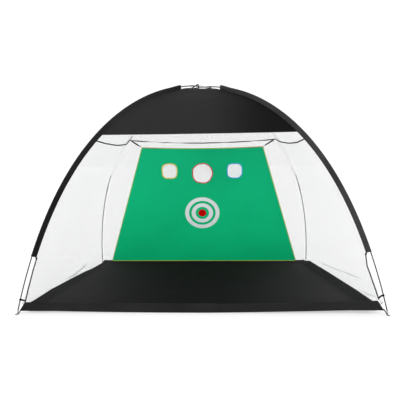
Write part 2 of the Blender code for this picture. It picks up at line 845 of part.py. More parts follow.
class TargetPlane:
    """The leaning plane of the target sheet, hinged on its lower piping."""

    def __init__(self, rear_edge):
        height = FLOOR_THICKNESS + GAP + PIPING_DIAMETER / 2
        self.hinge = Vector((0.0, rear_edge - TARGET_SETBACK, height))
        self.up = Vector((0.0, -math.sin(TARGET_LEAN), math.cos(TARGET_LEAN)))
        self.forward = Vector((0.0, -math.cos(TARGET_LEAN), -math.sin(TARGET_LEAN)))
        self.matrix = frame(self.hinge, Vector((1.0, 0.0, 0.0)), self.forward)

    def point(self, x, v, forward=0.0):
        return self.hinge + Vector((x, 0.0, 0.0)) + self.up * v + self.forward * forward


def rounded(points, radius):
    """A closed outline with each real corner eased over the radius."""
    eased = []
    earlier = points[-1:] + points[:-1]
    later = points[1:] + points[:1]
    for before, corner, after in zip(earlier, points, later):
        here = Vector(corner)
        back = (Vector(before) - here).normalized()
        ahead = (Vector(after) - here).normalized()
        if back.dot(ahead) < CORNER_LIMIT:
            eased.append(tuple(here))
            continue
        start = here + back * radius
        end = here + ahead * radius
        for i in range(CORNER_STEPS + 1):
            share = i / CORNER_STEPS
            eased.append(tuple(start.lerp(here, share).lerp(here.lerp(end, share), share)))
    return eased


def target_outline(inset):
    """Outline of the sheet, its top edge dipped, moved in from the piping's line."""
    half_bottom = TARGET_BOTTOM_WIDTH / 2
    half_top = TARGET_TOP_WIDTH / 2
    lean_in = (half_bottom - half_top) / TARGET_SLOPE
    side = inset * math.hypot(1.0, lean_in)
    bottom = half_bottom - side - lean_in * inset
    top = half_top - side + lean_in * inset
    points = [(-bottom, inset), (bottom, inset)]
    for i in range(PANEL_COLUMNS + 1):
        u = 1.0 - 2.0 * i / PANEL_COLUMNS
        dip = TARGET_TOP_DIP * (1.0 - u * u)
        points.append((top * u, TARGET_SLOPE - inset - dip))
    return rounded(points, TARGET_CORNER_RADIUS - inset)


def pockets():
    """Name, material, centre and outer radius of each pocket."""
    side = SIDE_POCKET_SPACING / 2
    return [
        ("left", "yellow_rim", (-side, SIDE_POCKET_HEIGHT), SIDE_POCKET_RADIUS),
        ("centre", "red_rim", (0.0, CENTRE_POCKET_HEIGHT), CENTRE_POCKET_RADIUS),
        ("right", "blue_rim", (side, SIDE_POCKET_HEIGHT), SIDE_POCKET_RADIUS),
    ]


def in_plane(plane, outlines):
    """Outlines with v measured up the slope, for a plate laid on the plane's matrix."""
    sign = 1.0 if plane.matrix.to_3x3().col[1].dot(plane.up) > 0 else -1.0
    return [[(x, sign * v) for x, v in outline] for outline in outlines]


def make_target_sheet(parts, plane):
    outlines = [target_outline(PIPING_DIAMETER / 2 + GAP)]
    outlines += [circle(centre, radius + GAP) for _, _, centre, radius in pockets()]
    curve = flat_outline("target_sheet", in_plane(plane, outlines), TARGET_THICKNESS)
    return add(parts, "target_sheet", curve, "target_green", plane.matrix)


def make_target_piping(parts, plane):
    points = [plane.point(x, v) for x, v in target_outline(0.0)]
    curve = cord_curve("target_piping", points, PIPING_DIAMETER, cyclic=True)
    return add(parts, "target_piping", curve, "lime_piping")


def make_pocket_rim(parts, plane, side, material_name, centre, radius):
    """A padded hoop in the sheet's hole."""
    name = f"{side}_pocket_rim"
    major = radius - RIM_TUBE_RADIUS
    bm = bmesh.new()
    rings = []
    for i in range(ROUND_STEPS):
        turn = 2 * math.pi * i / ROUND_STEPS
        rings.append(rim_ring(plane, centre, major, turn))
    skin_rings(bm, rings, closed_path=True)
    mesh = finish_mesh(name, bm)
    smooth(mesh)
    return add(parts, name, mesh, material_name)


def rim_ring(plane, centre, major, turn):
    points = []
    for j in range(TUBE_SIDES):
        roll = 2 * math.pi * j / TUBE_SIDES
        reach = major + RIM_TUBE_RADIUS * math.cos(roll)
        x = centre[0] + reach * math.cos(turn)
        v = centre[1] + reach * math.sin(turn)
        points.append(plane.point(x, v, RIM_TUBE_RADIUS * math.sin(roll)))
    return points


def make_pocket_net(parts, plane, side, centre, radius):
    """A shallow net bag behind its rim, sagging a little toward the ground."""
    name = f"{side}_pocket_net"
    major = radius - RIM_TUBE_RADIUS
    start = RIM_TUBE_RADIUS + GAP
    bm = bmesh.new()
    rings = []
    for i in range(POCKET_ROWS):
        slope = math.pi / 2 * i / POCKET_ROWS
        depth = start + (POCKET_DEPTH - start) * math.sin(slope)
        drop = POCKET_SAG * math.sin(slope) ** 2
        ring = []
        for j in range(ROUND_STEPS):
            turn = 2 * math.pi * j / ROUND_STEPS
            x = centre[0] + major * math.cos(slope) * math.cos(turn)
            v = centre[1] + major * math.cos(slope) * math.sin(turn) - drop
            ring.append(plane.point(x, v, -depth))
        rings.append(ring)
    last = skin_rings(bm, rings)[-1]
    bm.faces.new(last)
    mesh = finish_mesh(name, bm)
    smooth(mesh)
    item = add(parts, name, mesh, "white_net")
    thicken(item, NET_THICKNESS, offset=1.0)
    return item


def make_tie_and_toggle(parts, plane, side, sign, rear_line):
    """The toggle on the rear seam cord, and the strap whose eye slips over it."""
    half_top = TARGET_TOP_WIDTH / 2
    cord = rear_line(TOGGLE_INSET if sign < 0 else 1.0 - TOGGLE_INSET)
    root = cord + plane.forward * (SEAM_CORD_DIAMETER / 2 + GAP)
    away = (root - plane.hinge).dot(plane.forward)
    eye = root - plane.forward * away
    make_toggle(parts, side, root, plane.forward)
    corner = plane.point(sign * half_top, TARGET_SLOPE)
    return make_tie(parts, plane, side, eye, corner)


def make_toggle(parts, side, root, forward):
    name = f"{side}_toggle"
    profile = [
        (0.0, TOGGLE_LENGTH),
        (TOGGLE_NOSE_RADIUS, TOGGLE_LENGTH),
        (TOGGLE_RADIUS, TOGGLE_LENGTH - TOGGLE_RADIUS),
        (TOGGLE_RADIUS, 0.0),
        (0.0, 0.0),
    ]
    matrix = frame(root, Vector((1.0, 0.0, 0.0)), forward)
    item = add(parts, name, revolve(name, profile), "toggle_black", matrix)
    add_screw(item)


def make_tie(parts, plane, side, eye, corner):
    """A strap with an eye at one end, reaching the piping at the sheet's corner."""
    name = f"{side}_target_tie"
    run = corner - eye
    tail = run.length - PIPING_DIAMETER / 2 - GAP
    half = TIE_WIDTH / 2
    spread = math.asin(half / (half + TIE_THICKNESS))
    loop = arc((0.0, 0.0), half + TIE_THICKNESS, spread, 2 * math.pi - spread, ROUND_STEPS)
    outline = [(tail, half), *loop, (tail, -half)]
    hole = circle((0.0, 0.0), TOGGLE_RADIUS + TOGGLE_SLACK, 2 * TUBE_SIDES)
    curve = flat_outline(name, [outline, hole], TIE_THICKNESS)
    return add(parts, name, curve, "black_webbing", frame(eye, run, plane.forward))


def make_target(parts, legs, rear_line):
    """Every piece of the sheet, parented to an empty on its hinge line."""
    rear_edge = floor_corner(legs["rear_left"]).y
    plane = TargetPlane(rear_edge)
    pieces = [make_target_sheet(parts, plane), make_target_piping(parts, plane)]
    for side, material_name, centre, radius in pockets():
        pieces.append(make_pocket_rim(parts, plane, side, material_name, centre, radius))
        pieces.append(make_pocket_net(parts, plane, side, centre, radius))
    for side, sign in (("left", -1.0), ("right", 1.0)):
        pieces.append(make_tie_and_toggle(parts, plane, side, sign, rear_line))
    hinge = bpy.data.objects.new("target_hinge", None)
    hinge.location = plane.hinge
    parts.objects.link(hinge)
    bpy.context.view_layer.update()
    for piece in pieces:
        piece.parent = hinge
        piece.matrix_parent_inverse = hinge.matrix_world.inverted()


# ---------------------------------------------------------------- the whole net


def make_frame(parts, legs):
    poles = {
        "left": Pole(legs["front_left"], legs["rear_right"]),
        "right": Pole(legs["front_right"], legs["rear_left"]),
    }
    for side, pole in poles.items():
        make_pole_sections(parts, side, pole)
        make_shock_cord(parts, side, pole)
    for corner, leg in legs.items():
        make_tip(parts, corner, leg)
        make_grommet(parts, corner, leg)
        make_tab(parts, corner, leg)


def make_leg_cloth(parts, legs):
    for corner in ("front_left", "front_right"):
        leg = legs[corner]
        sleeve_end = leg.distance_at(FRONT_SLEEVE_END_HEIGHT)
        strap_end = leg.distance_at(CORNER_STRAP_HEIGHT - CORNER_STRAP_WIDTH)
        make_sleeve(parts, corner, leg, CROWN_OPENING, sleeve_end, "black_cloth")
        make_binding(parts, corner, leg, sleeve_end + GAP, strap_end)
        make_corner_strap(parts, corner, leg)
    for corner in ("rear_left", "rear_right"):
        leg = legs[corner]
        sleeve_end = leg.distance_at(REAR_SLEEVE_END_HEIGHT)
        make_sleeve(parts, corner, leg, REAR_SLEEVE_START, sleeve_end, "white_cloth")


def make_cover(parts, legs):
    front_left = legs["front_left"]
    front_right = legs["front_right"]
    rear_left = legs["rear_left"]
    rear_right = legs["rear_right"]
    spans = (
        ("left", front_left, rear_left, SIDE_DROOP, NET_FOLD_DEPTH),
        ("rear", rear_left, rear_right, REAR_DROOP, 0.0),
        ("right", front_right, rear_right, SIDE_DROOP, NET_FOLD_DEPTH),
    )
    for side, first, second, droop, folds in spans:
        make_roof_net(parts, f"{side}_roof_net", first, second, droop)
        make_wall_net(parts, f"{side}_wall_net", first, second, droop, folds)
        make_seam_cord(parts, f"{side}_seam_cord", first, second, droop)
    make_visor(parts, front_left, front_right)
    make_sill(parts, front_left, front_right)
    make_floor(parts, legs)
    make_crown(parts, legs)


def main():
    clear_scene()
    parts = new_collection("golf_chipping_net")
    legs = make_legs()
    make_frame(parts, legs)
    make_leg_cloth(parts, legs)
    make_cover(parts, legs)
    rear_line = seam_line(legs["rear_left"], legs["rear_right"], REAR_DROOP)
    make_target(parts, legs, rear_line)


main()
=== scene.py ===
"""Golf chipping net: the finish of every piece, modelled round the frame of its CAD model.

A dome net on two crossed poles: black sleeves and visor, fine white nets, a black floor
with a standing sill, and a leaning green target sheet with three ball pockets.
Metres, +Z up, +Y away from the mouth.
"""

import json
import math

import bpy
import numpy as np
from bpy.props import FloatProperty, FloatVectorProperty, IntProperty, PointerProperty
from mathutils import Matrix, Vector, noise


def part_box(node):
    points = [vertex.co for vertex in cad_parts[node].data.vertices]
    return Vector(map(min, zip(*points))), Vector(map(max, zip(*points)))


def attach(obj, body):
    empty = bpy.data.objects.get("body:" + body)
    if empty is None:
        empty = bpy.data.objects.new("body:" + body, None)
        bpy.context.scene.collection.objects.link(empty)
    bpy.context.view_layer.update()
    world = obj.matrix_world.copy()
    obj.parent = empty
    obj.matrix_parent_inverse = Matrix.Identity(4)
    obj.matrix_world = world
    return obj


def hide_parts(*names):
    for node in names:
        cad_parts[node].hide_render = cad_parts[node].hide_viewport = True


bl_info = {
    "name": "Golf chipping net",
    "version": (1, 0, 0),
    "blender": (4, 5, 0),
    "location": "3D View > Sidebar > Chipping net",
    "description": "Builds the visible pieces of a dome golf chipping net round its frame",
    "category": "Add Mesh",
}

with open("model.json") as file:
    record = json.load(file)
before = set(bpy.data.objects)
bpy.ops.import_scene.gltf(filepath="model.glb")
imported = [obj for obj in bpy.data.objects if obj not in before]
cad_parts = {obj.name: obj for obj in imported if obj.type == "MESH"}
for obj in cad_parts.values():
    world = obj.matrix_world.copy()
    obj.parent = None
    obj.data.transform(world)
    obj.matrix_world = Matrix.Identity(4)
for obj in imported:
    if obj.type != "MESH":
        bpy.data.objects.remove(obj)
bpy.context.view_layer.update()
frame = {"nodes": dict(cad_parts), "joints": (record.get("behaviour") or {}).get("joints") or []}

UP = Vector((0.0, 0.0, 1.0))
RIGHT = Vector((1.0, 0.0, 0.0))
CORNERS = ("front_left", "front_right", "rear_left", "rear_right")
SIDES = ("left", "right")
UV_NAME = "cloth"

# Half the mouth's width at the floor, and the height at which the nets' seams meet the floor.
HALF_MOUTH = 1.47
SEAM_FOOT = 0.0017


def middle(node):
    """Middle of a CAD node's box."""
    low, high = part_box(node)
    return (Vector(low) + Vector(high)) / 2


FRONT_FOOT = middle("front_right_grommet")
REAR_FOOT = middle("rear_right_grommet")
HINGE = Vector(frame["joints"][0]["pos_m"])


# ---------------------------------------------------------------- sizes and colours


def length(name, description, default):
    return FloatProperty(
        name=name, description=description, default=default, precision=4, unit="LENGTH"
    )


def share(name, description, default):
    return FloatProperty(name=name, description=description, default=default, subtype="FACTOR")


def colour(name, description, default):
    return FloatVectorProperty(
        name=name, description=description, default=default, size=3, min=0, max=1, subtype="COLOR"
    )


class NET_PG_poles(bpy.types.PropertyGroup):
    """The two bent poles."""

    front_x: length("Front foot", "Of a front foot from the middle", FRONT_FOOT.x)
    rear_x: length("Rear foot", "Of a rear foot from the middle", REAR_FOOT.x)
    half_depth: length("Half depth", "Of the feet from the middle", REAR_FOOT.y)
    crown_height: length("Crown height", "Height at which the poles cross", 1.924)
    front_crown_handle: length("Front crown handle", "Level stretch of a front leg", 0.444)
    front_foot_back: length("Front foot spread", "Of the front leg's lower handle", 0.418)
    front_foot_rise: length("Front foot rise", "Of the front leg's lower handle", 1.687)
    rear_crown_handle: length("Rear crown handle", "Level stretch of a rear leg", 0.480)
    rear_foot_back: length("Rear foot spread", "Of the rear leg's lower handle", -0.046)
    rear_foot_rise: length("Rear foot rise", "Of the rear leg's lower handle", 1.430)
    diameter: length("Pole diameter", "Outside", 0.0095)
    bore: length("Pole bore", "For the shock cord", 0.0055)
    ferrule: length("Ferrule diameter", "Of the tube that joins two sections", 0.0121)
    grip: length("Ferrule grip", "Ferrule fixed on its own section", 0.040)
    socket: length("Ferrule socket", "Ferrule over the next section", 0.050)
    foot_gap: length("Foot gap", "From the ground to the pole's end in its tip", 0.0097)
    sections: IntProperty(name="Sections", description="Of each pole", default=6)


class NET_PG_cloth(bpy.types.PropertyGroup):
    """Sleeves, nets, visor and floor."""

    wall: length("Cloth thickness", "Of sleeves, visor and floor", 0.0009)
    sleeve_radius: length("Sleeve radius", "Of the loose part round the pole", 0.0080)
    crown_opening: length("Crown opening", "Bare pole from the crossing to a sleeve", 0.215)
    rear_opening: length("Rear opening", "Bare pole behind the crossing", 0.100)
    front_end: length("Front sleeve end", "Height of a front sleeve's lower end", 0.478)
    rear_end: length("Rear sleeve end", "Height of a rear sleeve's lower end", 1.045)
    front_eave: length("Front eave", "Height of the seam cord at the front legs", 1.405)
    rear_eave: length("Rear eave", "Height of the seam cord at the rear legs", 1.431)
    side_droop: length("Side droop", "Of the seam cord between its legs", 0.047)
    rear_droop: length("Rear droop", "Of the seam cord between its legs", 0.035)
    cord: length("Seam cord", "Width of the cord with its tape", 0.0115)
    panel_start: length("Panel start", "First row of a roof panel down a leg", 0.032)
    net_fold: length("Net folds", "Depth of the folds at the foot of a side net", 0.013)
    mesh_cell: length("Mesh cell", "Distance between a net's threads", 0.005)
    visor_edge: length("Visor edge", "Height of the visor's lower edge", 1.462)
    visor_tilt: length("Visor tilt", "Of its lower edge, higher at the right", 0.0055)
    visor_sag: length("Visor sag", "Between the front legs", 0.012)
    left_lip: length("Left lip", "Height to which the floor turns up on the left", 0.043)
    right_lip: length("Right lip", "Height to which the floor turns up on the right", 0.057)
    rear_lip: length("Rear lip", "Height to which the floor turns up at the back", 0.0285)
    sill: length("Sill", "Height of the floor's standing front edge", 0.085)
    left_rise: length("Left rise", "Of the sill off the ground at its left end", 0.018)
    right_rise: length("Right rise", "Of the sill off the ground at its right end", 0.030)
    hem: length("Hem", "Width of a folded hem", 0.022)
    left_strap: length("Left strap", "Height of the left corner strap", 0.119)
    right_strap: length("Right strap", "Height of the right corner strap", 0.158)
    strap_width: length("Strap width", "Of the front corner straps", 0.020)


class NET_PG_target(bpy.types.PropertyGroup):
    """The leaning target sheet."""

    bottom: length("Bottom width", "Along the hinge", 2.180)
    top: length("Top width", "Between the tied corners", 1.310)
    slope: length("Slope", "From the hinge to the top edge", 1.369)
    lean: FloatProperty(
        name="Lean", description="Forward from upright", default=math.radians(9.67), subtype="ANGLE"
    )
    foot: length("Foot", "Height of the lower edge up the slope from the hinge", 0.0205)
    dip: length("Top dip", "Of the top edge between its corners", 0.015)
    corner: length("Corner radius", "Of the sheet's corners", 0.018)
    piping: length("Piping", "Diameter of the edge tape", 0.008)
    rim: length("Rim", "Radius of a pocket's padded rim", 0.0060)
    spacing: length("Pocket spacing", "Between the outer pockets", 0.725)
    side_height: length("Side pocket height", "Up the slope", 1.105)
    side_radius: length("Side pocket radius", "Outside the rim", 0.093)
    centre_height: length("Centre pocket height", "Up the slope", 1.078)
    centre_radius: length("Centre pocket radius", "Outside the rim", 0.117)
    pocket_depth: length("Pocket depth", "Behind the sheet", 0.045)
    pocket_sag: length("Pocket sag", "Of the bag's bottom", 0.022)
    rings_across: length("Rings offset", "Of the printed rings to the right", -0.006)
    rings_height: length("Rings height", "Middle of the printed rings up the slope", 0.6170)
    rings_radius: length("Rings radius", "Of the outer printed ring", 0.195)
    tie_width: length("Tie width", "Of the top corner ties", 0.014)


class NET_PG_colours(bpy.types.PropertyGroup):
    """Base colours, as linear values."""

    cloth: colour("Black cloth", "Visor, sleeves and floor", (0.0205, 0.0205, 0.0205))
    webbing: colour("Webbing", "Straps, tabs, tapes and ties", (0.004, 0.004, 0.004))
    net: colour("Net", "Roof and wall nets", (0.62, 0.61, 0.625))
    pocket: colour("Pocket net", "Ball pockets", (0.98, 0.93, 1.00))
    pale: colour("Pale cloth", "Rear sleeves", (0.95, 0.95, 0.95))
    green: colour("Target green", "Target sheet, at its top", (0.006, 0.515, 0.225))
    # Lighter than the top green: painted light, making up for the shade low on the sheet.
    green_foot_painted_light: colour("Low green", "Target sheet, at its foot", (0.004, 0.64, 0.250))
    print_white: colour("Print white", "Printed rings", (0.88, 0.945, 0.94))
    print_red: colour("Print red", "Middle of the rings", (0.62, 0.0, 0.0))
    lime: colour("Lime", "Piping at the sides and bottom", (0.42, 0.55, 0.03))
    orange: colour("Orange", "Piping along the top", (0.62, 0.20, 0.03))
    yellow: colour("Yellow", "Left rim", (0.86, 0.62, 0.06))
    red: colour("Red", "Centre rim", (0.72, 0.03, 0.05))
    blue: colour("Blue", "Right rim", (0.05, 0.42, 0.85))
    fibre: colour("Pole", "Fibreglass rod", (0.009, 0.009, 0.010))
    metal: colour("Metal", "Tips", (0.55, 0.55, 0.56))
    brass: colour("Eyelets", "Grommets", (0.60, 0.57, 0.50))
    elastic: colour("Elastic", "Shock cord", (0.78, 0.78, 0.76))
    plastic: colour("Plastic", "Toggles", (0.02, 0.02, 0.02))
    floor: colour("Floor", "Studio floor", (1.0, 1.0, 1.0))


class NET_PG_stage(bpy.types.PropertyGroup):
    """Studio, lights and camera."""

    camera_x: length("Camera X", "Across", 0.0872)
    camera_y: length("Camera Y", "In front of the net", -3.7412)
    camera_z: length("Camera Z", "Above the ground", 1.3167)
    camera_pitch: FloatProperty(
        name="Camera pitch", description="Below level", default=math.radians(7.25), subtype="ANGLE"
    )
    camera_yaw: FloatProperty(
        name="Camera yaw", description="To the left", default=math.radians(1.56), subtype="ANGLE"
    )
    camera_roll: FloatProperty(
        name="Camera roll", description="Anticlockwise", default=math.radians(-0.49), subtype="ANGLE"
    )
    lens: FloatProperty(name="Lens", description="Focal length, mm", default=34.90, unit="CAMERA")
    floor_size: length("Floor size", "Side of the studio floor", 60.0)
    sky: share("Sky", "Strength of the white surroundings", 1.06)
    key: FloatProperty(name="Key light", description="Soft light, left", default=70.0, unit="POWER")
    fill: FloatProperty(name="Side light", description="Soft light, right", default=45.0, unit="POWER")


GROUPS = {
    "net_poles": NET_PG_poles,
    "net_cloth": NET_PG_cloth,
    "net_target": NET_PG_target,
    "net_colours": NET_PG_colours,
    "net_stage": NET_PG_stage,
}


def settings(name):
    return getattr(bpy.context.scene, name)


# ---------------------------------------------------------------- materials


class Wire:
    """A node's output, for shader maths written as Python expressions."""

    def __init__(self, finish, socket):
        self.finish = finish
        self.socket = socket

    def maths(self, operation, *values):
        sockets = dict(enumerate((self, *values)))
        return self.finish.node("Math", {"operation": operation}, sockets)

    def __add__(self, other):
        return self.maths("ADD", other)

    def __radd__(self, other):
        return self.maths("ADD", other)

    def __sub__(self, other):
        return self.maths("SUBTRACT", other)

    def __rsub__(self, other):
        return self.finish.node("Math", {"operation": "SUBTRACT"}, {0: other, 1: self})

    def __mul__(self, other):
        return self.maths("MULTIPLY", other)

    def __rmul__(self, other):
        return self.maths("MULTIPLY", other)

    def __truediv__(self, other):
        return self.maths("DIVIDE", other)

    def sine(self):
        return self.maths("SINE")

    def fraction(self):
        return self.maths("FRACT")

    def size(self):
        return self.maths("ABSOLUTE")

    def larger(self, other):
        return self.maths("MAXIMUM", other)

    def smaller(self, other):
        return self.maths("MINIMUM", other)

    def rise(self, start, end):
        """0 below start and 1 above end, smooth between them."""
        kind = {"interpolation_type": "SMOOTHSTEP"}
        return self.finish.node("MapRange", kind, {0: self, 1: start, 2: end, 3: 0.0, 4: 1.0})


class Finish:
    """One material: its shader's constants, and the nodes for what varies."""

    def __init__(self, name, **constants):
        self.material = bpy.data.materials.new(name)
        self.material.use_nodes = True
        self.tree = self.material.node_tree
        self.shader = self.tree.nodes["Principled BSDF"]
        for socket, value in constants.items():
            self.set(socket.replace("_", " ").title(), value)

    def set(self, socket, value):
        self.plug(self.shader.inputs[socket], value)

    def plug(self, socket, value):
        if isinstance(value, Wire):
            self.tree.links.new(value.socket, socket)
        elif socket.type == "RGBA" and len(value) == 3:
            socket.default_value = (*value, 1.0)
        else:
            socket.default_value = value

    def node(self, kind, options, sockets, output=0):
        """Adds a node: its options first, then its sockets, and gives one output."""
        made = self.tree.nodes.new("ShaderNode" + kind)
        for option, value in options.items():
            setattr(made, option, value)
        for socket, value in sockets.items():
            self.plug(made.inputs[socket], value)
        return Wire(self, made.outputs[output])

    def mix(self, factor, first, second):
        kinds = {"data_type": "RGBA"}
        return self.node("Mix", kinds, {0: factor, 6: first, 7: second}, output=2)

    def tones(self, tone, base, low, high):
        """The base colour, from its low shade where tone is 0 to its high one where it is 1."""
        return self.mix(tone, shaded(base, low), shaded(base, high))

    def cloth_place(self):
        """Metres across and along the cloth, from the piece's own UV map."""
        uv = self.node("UVMap", {"uv_map": UV_NAME}, {})
        split = self.node("SeparateXYZ", {}, {0: uv})
        return split, Wire(self, split.socket.node.outputs[1])

    def object_place(self):
        return self.node("TexCoord", {}, {}, output=3)

    def speckle(self, scale, detail=3.0, place=None):
        """Noise from 0 to 1, scale blobs to the metre."""
        sockets = {"Vector": place or self.object_place(), "Scale": scale, "Detail": detail}
        return self.node("TexNoise", {}, sockets)

    def bump(self, height, strength, distance):
        sockets = {"Height": height, "Strength": strength, "Distance": distance}
        self.set("Normal", self.node("Bump", {}, sockets))


def shaded(base, factor):
    return tuple(min(1.0, part * factor) for part in base)


def weave(finish, pitch):
    """Over and under of a plain weave, from 0 to 1."""
    across, along = finish.cloth_place()
    turn = 2 * math.pi / pitch
    return (across * turn).sine() * (along * turn).sine() * 0.5 + 0.5


def cloth_finish(name, base, pitch=0.0016, rough=0.62, contrast=0.35, shade=None, painted_shade_colour=None):
    """Woven cloth: soft blotches of tone over its weave, and creases too small to model.

    Where shade is 1 the cloth takes its second, darker colour as painted shade, and where it is 0 the base
    one.
    """
    finish = Finish(name)
    finish.set("Specular IOR Level", 0.05)
    blotch = finish.speckle(2.2, 4.0)
    threads = weave(finish, pitch)
    tone = (blotch * 0.7 + threads * 0.3).rise(0.25, 0.75)
    low, high = 1 - contrast, 1 + contrast
    colour = finish.tones(tone, base, low, high)
    # Painted shade: a darker copy of the cloth, mixed in where the shade mask is 1.
    if shade:
        painted_shade_tones = finish.tones(tone, painted_shade_colour, low, high)
        colour = finish.mix(shade(finish), colour, painted_shade_tones)
    finish.set("Base Color", colour)
    finish.set("Roughness", blotch * 0.16 + (rough - 0.08))
    crease = finish.speckle(38.0, 5.0)
    finish.bump(threads * 0.35 + crease * 0.65, 0.35, 0.0012)
    return finish.material


def place_part(finish, axis):
    """The object's x, y or z in metres."""
    return finish.node("SeparateXYZ", {}, {0: finish.object_place()}, output=axis)


def right_painted_shade(finish):
    """Mask of painted shade: 0 on the left and in the middle, 1 at the far right."""
    return place_part(finish, 0).rise(-0.05, 0.62)


def low_painted_shade(finish):
    """Mask of painted shade, darker low down: 0 up at the crown, 1 near the ground."""
    return 1 - place_part(finish, 2).rise(0.9, 1.75)


def floor_painted_shade(finish):
    """Mask of painted shade on the floor: 1 down the middle, less toward its sides and its back."""
    across = place_part(finish, 0) + 0.04
    deep = place_part(finish, 1)
    near = deep.rise(-0.75, -0.30) * 0.40 + 0.60
    return 1 - (across * across / 1.6).smaller(1.0) * near - deep.rise(0.0, 0.75) * 0.16


def webbing_finish(name, base):
    """Narrow woven tape: ribs across it and a paler stitch line near each edge."""
    finish = Finish(name, roughness=0.85)
    finish.set("Specular IOR Level", 0.03)
    across, along = finish.cloth_place()
    rib, stitch_step, stitch_line = 0.0022, 0.0045, 0.0045
    ribs = (along * (2 * math.pi / rib)).sine() * 0.5 + 0.5
    dash = (along / stitch_step).fraction().rise(0.30, 0.42)
    stitch = 1 - ((across.size() - stitch_line).size()).rise(0.0004, 0.0008)
    thread = stitch * dash
    finish.set("Base Color", finish.tones(thread, base, 1.0, 3.0))
    finish.bump(ribs * 0.5 + thread * 0.5, 0.5, 0.0006)
    return finish.material


def net_finish(name, base, cell, thread, rough=0.75, low=1.0):
    """Knitted net: two families of thin threads with open cells between them.

    low is its tone at the ground, as a share of its tone at the eaves; the fall toward the ground is
    painted shade.
    """
    finish = Finish(name, roughness=rough)
    across, along = finish.cloth_place()
    half = thread / 2
    edge = half * 0.35

    def family(run):
        offset = ((run / cell).fraction() - 0.5).size()
        return 1 - offset.rise(half - edge, half + edge)

    threads = family(across + along * 0.5).larger(family(along * 0.5 - across))
    finish.set("Alpha", threads)
    tone = finish.speckle(3.0, 3.0)
    # Painted shade: the colour goes from its tone at the eaves to low times that tone at the ground.
    high = finish.tones(tone, base, 0.90, 1.08)
    deep = finish.tones(tone, base, 0.90 * low, 1.08 * low)
    finish.set("Base Color", finish.mix(place_part(finish, 2).rise(0.0, 1.4), deep, high))
    finish.bump(threads, 0.4, 0.0006)
    return finish.material


def target_finish(name, colours, target):
    """Green woven sheet with a red disc and two pale rings printed on it.

    The rings' and the disc's edges are shares of the outer ring's radius.
    """
    inner_ring, outer_ring, disc_edge = (0.391, 0.623), (0.773, 1.0), 0.23
    soft, flattened = 0.010, 1.055
    finish = Finish(name)
    finish.set("Specular IOR Level", 0.05)
    across, up = finish.cloth_place()
    across = across - target.rings_across
    outer = target.rings_radius
    rise = (up - target.rings_height) * flattened
    reach = (across * across + rise * rise).maths("SQRT") / outer

    def ring(inside, outside):
        return reach.rise(inside - soft, inside + soft) * (1 - reach.rise(outside - soft, outside + soft))

    pale = ring(*inner_ring) + ring(*outer_ring)
    disc = 1 - reach.rise(disc_edge - soft, disc_edge + soft)
    threads = weave(finish, 0.0018)
    blotch = finish.speckle(1.6, 3.0)
    tone = (blotch * 0.75 + threads * 0.25).rise(0.2, 0.8)
    top = finish.tones(tone, colours.green, 0.90, 1.08)
    # Painted light: the green turns lighter toward the sheet's foot, to make up for the shade there.
    foot = finish.tones(tone, colours.green_foot_painted_light, 0.90, 1.08)
    green = finish.mix(up / target.slope, foot, top)
    printed = finish.mix(pale, green, tuple(colours.print_white))
    finish.set("Base Color", finish.mix(disc, printed, tuple(colours.print_red)))
    finish.set("Roughness", 0.60 - (pale + disc) * 0.12 + blotch * 0.08)
    finish.bump(threads * 0.4 + finish.speckle(30.0, 4.0) * 0.6, 0.25, 0.0010)
    return finish.material


def piping_finish(name, colours, height):
    """Folded edge tape, lime below and orange along the top."""
    finish = Finish(name, roughness=0.65, sheen_weight=0.08)
    top = place_part(finish, 2).rise(height - 0.012, height - 0.006)
    base = finish.mix(top, tuple(colours.lime), tuple(colours.orange))
    worn = finish.speckle(120.0, 3.0).rise(0.35, 0.75) * 0.35
    finish.set("Base Color", finish.mix(worn, base, shaded(colours.lime, 0.55)))
    finish.bump(finish.speckle(900.0, 2.0), 0.4, 0.0006)
    return finish.material


def rim_finish(name, base):
    """Padded hoop cover, gathered round its hoop, with painted shade in the hollows of its gathers."""
    finish = Finish(name, roughness=0.60, sheen_weight=0.10)
    _, along = finish.cloth_place()
    gather = (along * (2 * math.pi / 0.009)).sine() * 0.5 + 0.5
    # Half painted shade, darker in the gathers' hollows, and half random tone.
    tone = gather * 0.5 + finish.speckle(60.0, 3.0) * 0.5
    finish.set("Base Color", finish.tones(tone, base, 0.75, 1.15))
    finish.bump(gather, 0.4, 0.0010)
    return finish.material


def fibre_finish(name, base):
    """Pulled fibreglass rod: fine lengthwise streaks under a satin skin."""
    finish = Finish(name, coat_weight=0.06, coat_roughness=0.40)
    across, along = finish.cloth_place()
    streak = finish.node("CombineXYZ", {}, {0: across * 900.0, 1: along * 6.0})
    lines = finish.speckle(1.0, 4.0, streak)
    finish.set("Base Color", finish.tones(lines, base, 0.6, 1.7))
    finish.set("Roughness", lines * 0.25 + 0.28)
    return finish.material


def metal_finish(name, base):
    """Turned metal with fine scuffs."""
    finish = Finish(name, metallic=1.0)
    scuff = finish.speckle(420.0, 5.0)
    finish.set("Base Color", finish.tones(scuff, base, 0.80, 1.10))
    finish.set("Roughness", scuff * 0.25 + 0.22)
    finish.bump(scuff, 0.15, 0.0002)
    return finish.material


def braid_finish(name, base):
    """Braided elastic sheath."""
    finish = Finish(name, roughness=0.8)
    place = finish.object_place()
    bands = finish.node("TexWave", {"bands_direction": "DIAGONAL"}, {0: place, 1: 900.0})
    finish.set("Base Color", finish.tones(bands, base, 0.8, 1.0))
    finish.bump(bands, 0.5, 0.0003)
    return finish.material


def plastic_finish(name, base):
    """Moulded plastic with a fine grain."""
    finish = Finish(name)
    grain = finish.speckle(1500.0, 2.0)
    finish.set("Base Color", finish.tones(grain, base, 0.8, 1.4))
    finish.set("Roughness", grain * 0.15 + 0.35)
    finish.bump(grain, 0.2, 0.0002)
    return finish.material


